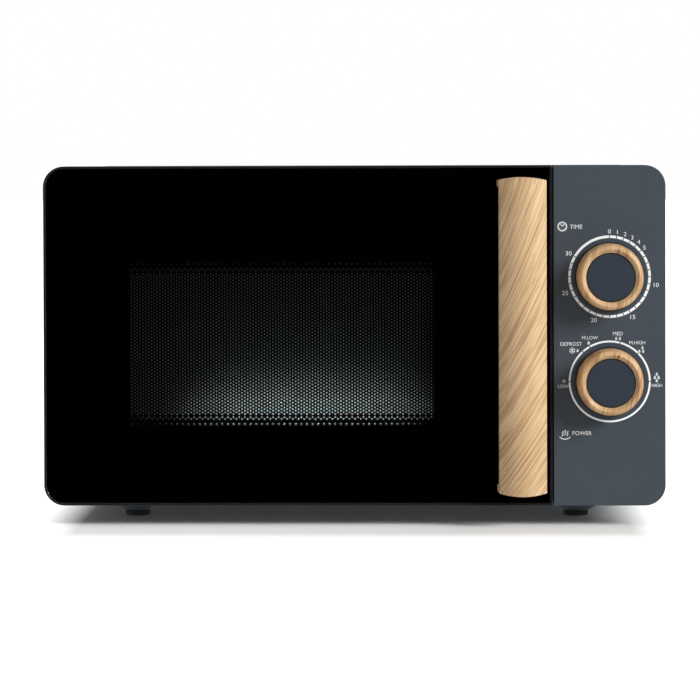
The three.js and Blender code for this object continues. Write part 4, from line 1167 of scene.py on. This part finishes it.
# Painted light: this camera-only glow whites out the floor's shadow, from almost none at the oven's foot to
# full a little way out.
glow = floor_paint.ramp(beyond, (0.0, 0.02), (0.07, 0.75), (0.16, 1.0))
floor_paint.join(glow, floor_paint.shader.inputs["Emission Color"])
floor_seen_by = floor_paint.tree.nodes.new("ShaderNodeLightPath")
floor_paint.join(floor_seen_by.outputs["Is Camera Ray"], floor_paint.shader.inputs["Emission Strength"])
floor_mesh.materials.append(floor_paint.material)
floor.visible_glossy = False
floor.visible_transmission = False
floor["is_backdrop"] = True

world = bpy.data.worlds.new("studio_sky")
scene.world = world
world.use_nodes = True
sky = world.node_tree
sky.nodes.clear()
towards_front = sky.nodes.new("ShaderNodeVectorMath")
towards_front.operation = "DOT_PRODUCT"
towards_front.inputs[1].default_value = (0, -1, 0)
sky.links.new(sky.nodes.new("ShaderNodeTexCoord").outputs["Generated"], towards_front.inputs[0])
darkness = sky.nodes.new("ShaderNodeMapRange")
darkness.interpolation_type = "SMOOTHSTEP"
darkness.inputs["From Min"].default_value = 0.80
darkness.inputs["From Max"].default_value = 0.95
sky.links.new(towards_front.outputs["Value"], darkness.inputs["Value"])
seen_by = sky.nodes.new("ShaderNodeLightPath")
mirrored = maths(sky, "MAXIMUM", seen_by.outputs["Is Glossy Ray"], seen_by.outputs["Is Transmission Ray"])
black_screen = maths(sky, "MULTIPLY", mirrored, darkness.outputs[0])
lit = maths(sky, "MULTIPLY", maths(sky, "SUBTRACT", 1.0, black_screen), SKY_LIGHT)
background = sky.nodes.new("ShaderNodeBackground")
background.inputs["Color"].default_value = (1, 1, 1, 1)
sky.links.new(maths(sky, "MAXIMUM", lit, seen_by.outputs["Is Camera Ray"]), background.inputs["Strength"])
sky.links.new(background.outputs[0], sky.nodes.new("ShaderNodeOutputWorld").inputs["Surface"])


def light_up(data, place, direction):
    light = bpy.data.objects.new(data.name, data)
    light.location = place
    light.rotation_euler = direction.to_track_quat("-Z", "Y").to_euler()
    scene.collection.objects.link(light)


sun = bpy.data.lights.new("key_from_upper_right", "SUN")
sun.energy, sun.angle = SUN_LIGHT, SUN_WIDTH
light_up(sun, (0, 0, 0), SUN_DIRECTION)
lamp = bpy.data.lights.new("oven_lamp_glow", "AREA")
lamp.shape, lamp.size, lamp.size_y, lamp.spread = "RECTANGLE", LAMP_WIDTH, LAMP_HEIGHT, LAMP_SPREAD
lamp.energy, lamp.color = LAMP_POWER, (0.95, 1.0, 0.97)
light_up(lamp, LAMP_AT, Vector(LAMP_AIM) - Vector(LAMP_AT))

# %% [markdown]
# ## Camera
# A long lens far away keeps the oven's edges parallel. The camera stands just above the oven's top and
# looks almost level, and the lens is shifted down to frame the oven, which keeps its sides upright.

# %% Camera
FRONT = panel_low.y
DISTANCE, HEIGHT, MIDDLE = 2.25, 0.275, -2.76 * MM
LOOK_DOWN, LOOK_ASIDE, ROLL = math.radians(1.0), math.radians(1.4), math.radians(0.16)
FIELD = 507.9 * MM
SHIFT_ASIDE, SHIFT_DOWN = 0.0005, 0.2114
SENSOR = 36
camera_data = bpy.data.cameras.new("camera")
camera_data.sensor_width = SENSOR
camera_data.lens = SENSOR * DISTANCE / FIELD
camera_data.shift_x = SHIFT_ASIDE
camera_data.shift_y = -SHIFT_DOWN
camera_data.clip_end = 60
camera = bpy.data.objects.new("camera", camera_data)
scene.collection.objects.link(camera)
aside, ahead = math.sin(LOOK_ASIDE), math.cos(LOOK_ASIDE)
camera.location = (MIDDLE + DISTANCE * aside, FRONT - DISTANCE * ahead, HEIGHT)
camera.rotation_mode = "QUATERNION"
level, down = math.cos(LOOK_DOWN), math.sin(LOOK_DOWN)
looking = Vector((-aside * level, ahead * level, -down))
camera.rotation_quaternion = looking.to_track_quat("-Z", "Y") @ Matrix.Rotation(-ROLL, 3, "Z").to_quaternion()
scene.camera = camera
scene.view_settings.view_transform = "Standard"

# %% [markdown]
# ## The size of the dressed oven
# The dressed oven should fill the same box as the engineering model. Both boxes are printed, in millimetres.

# %% Sizes and finish
looks_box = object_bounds()
sizes = {"cad": [list(corner) for corner in cad_box], "looks": [list(corner) for corner in looks_box]}
for key, corners in sizes.items():
    print("box of the", key, "in mm", [[round(c / MM, 1) for c in corner] for corner in corners])
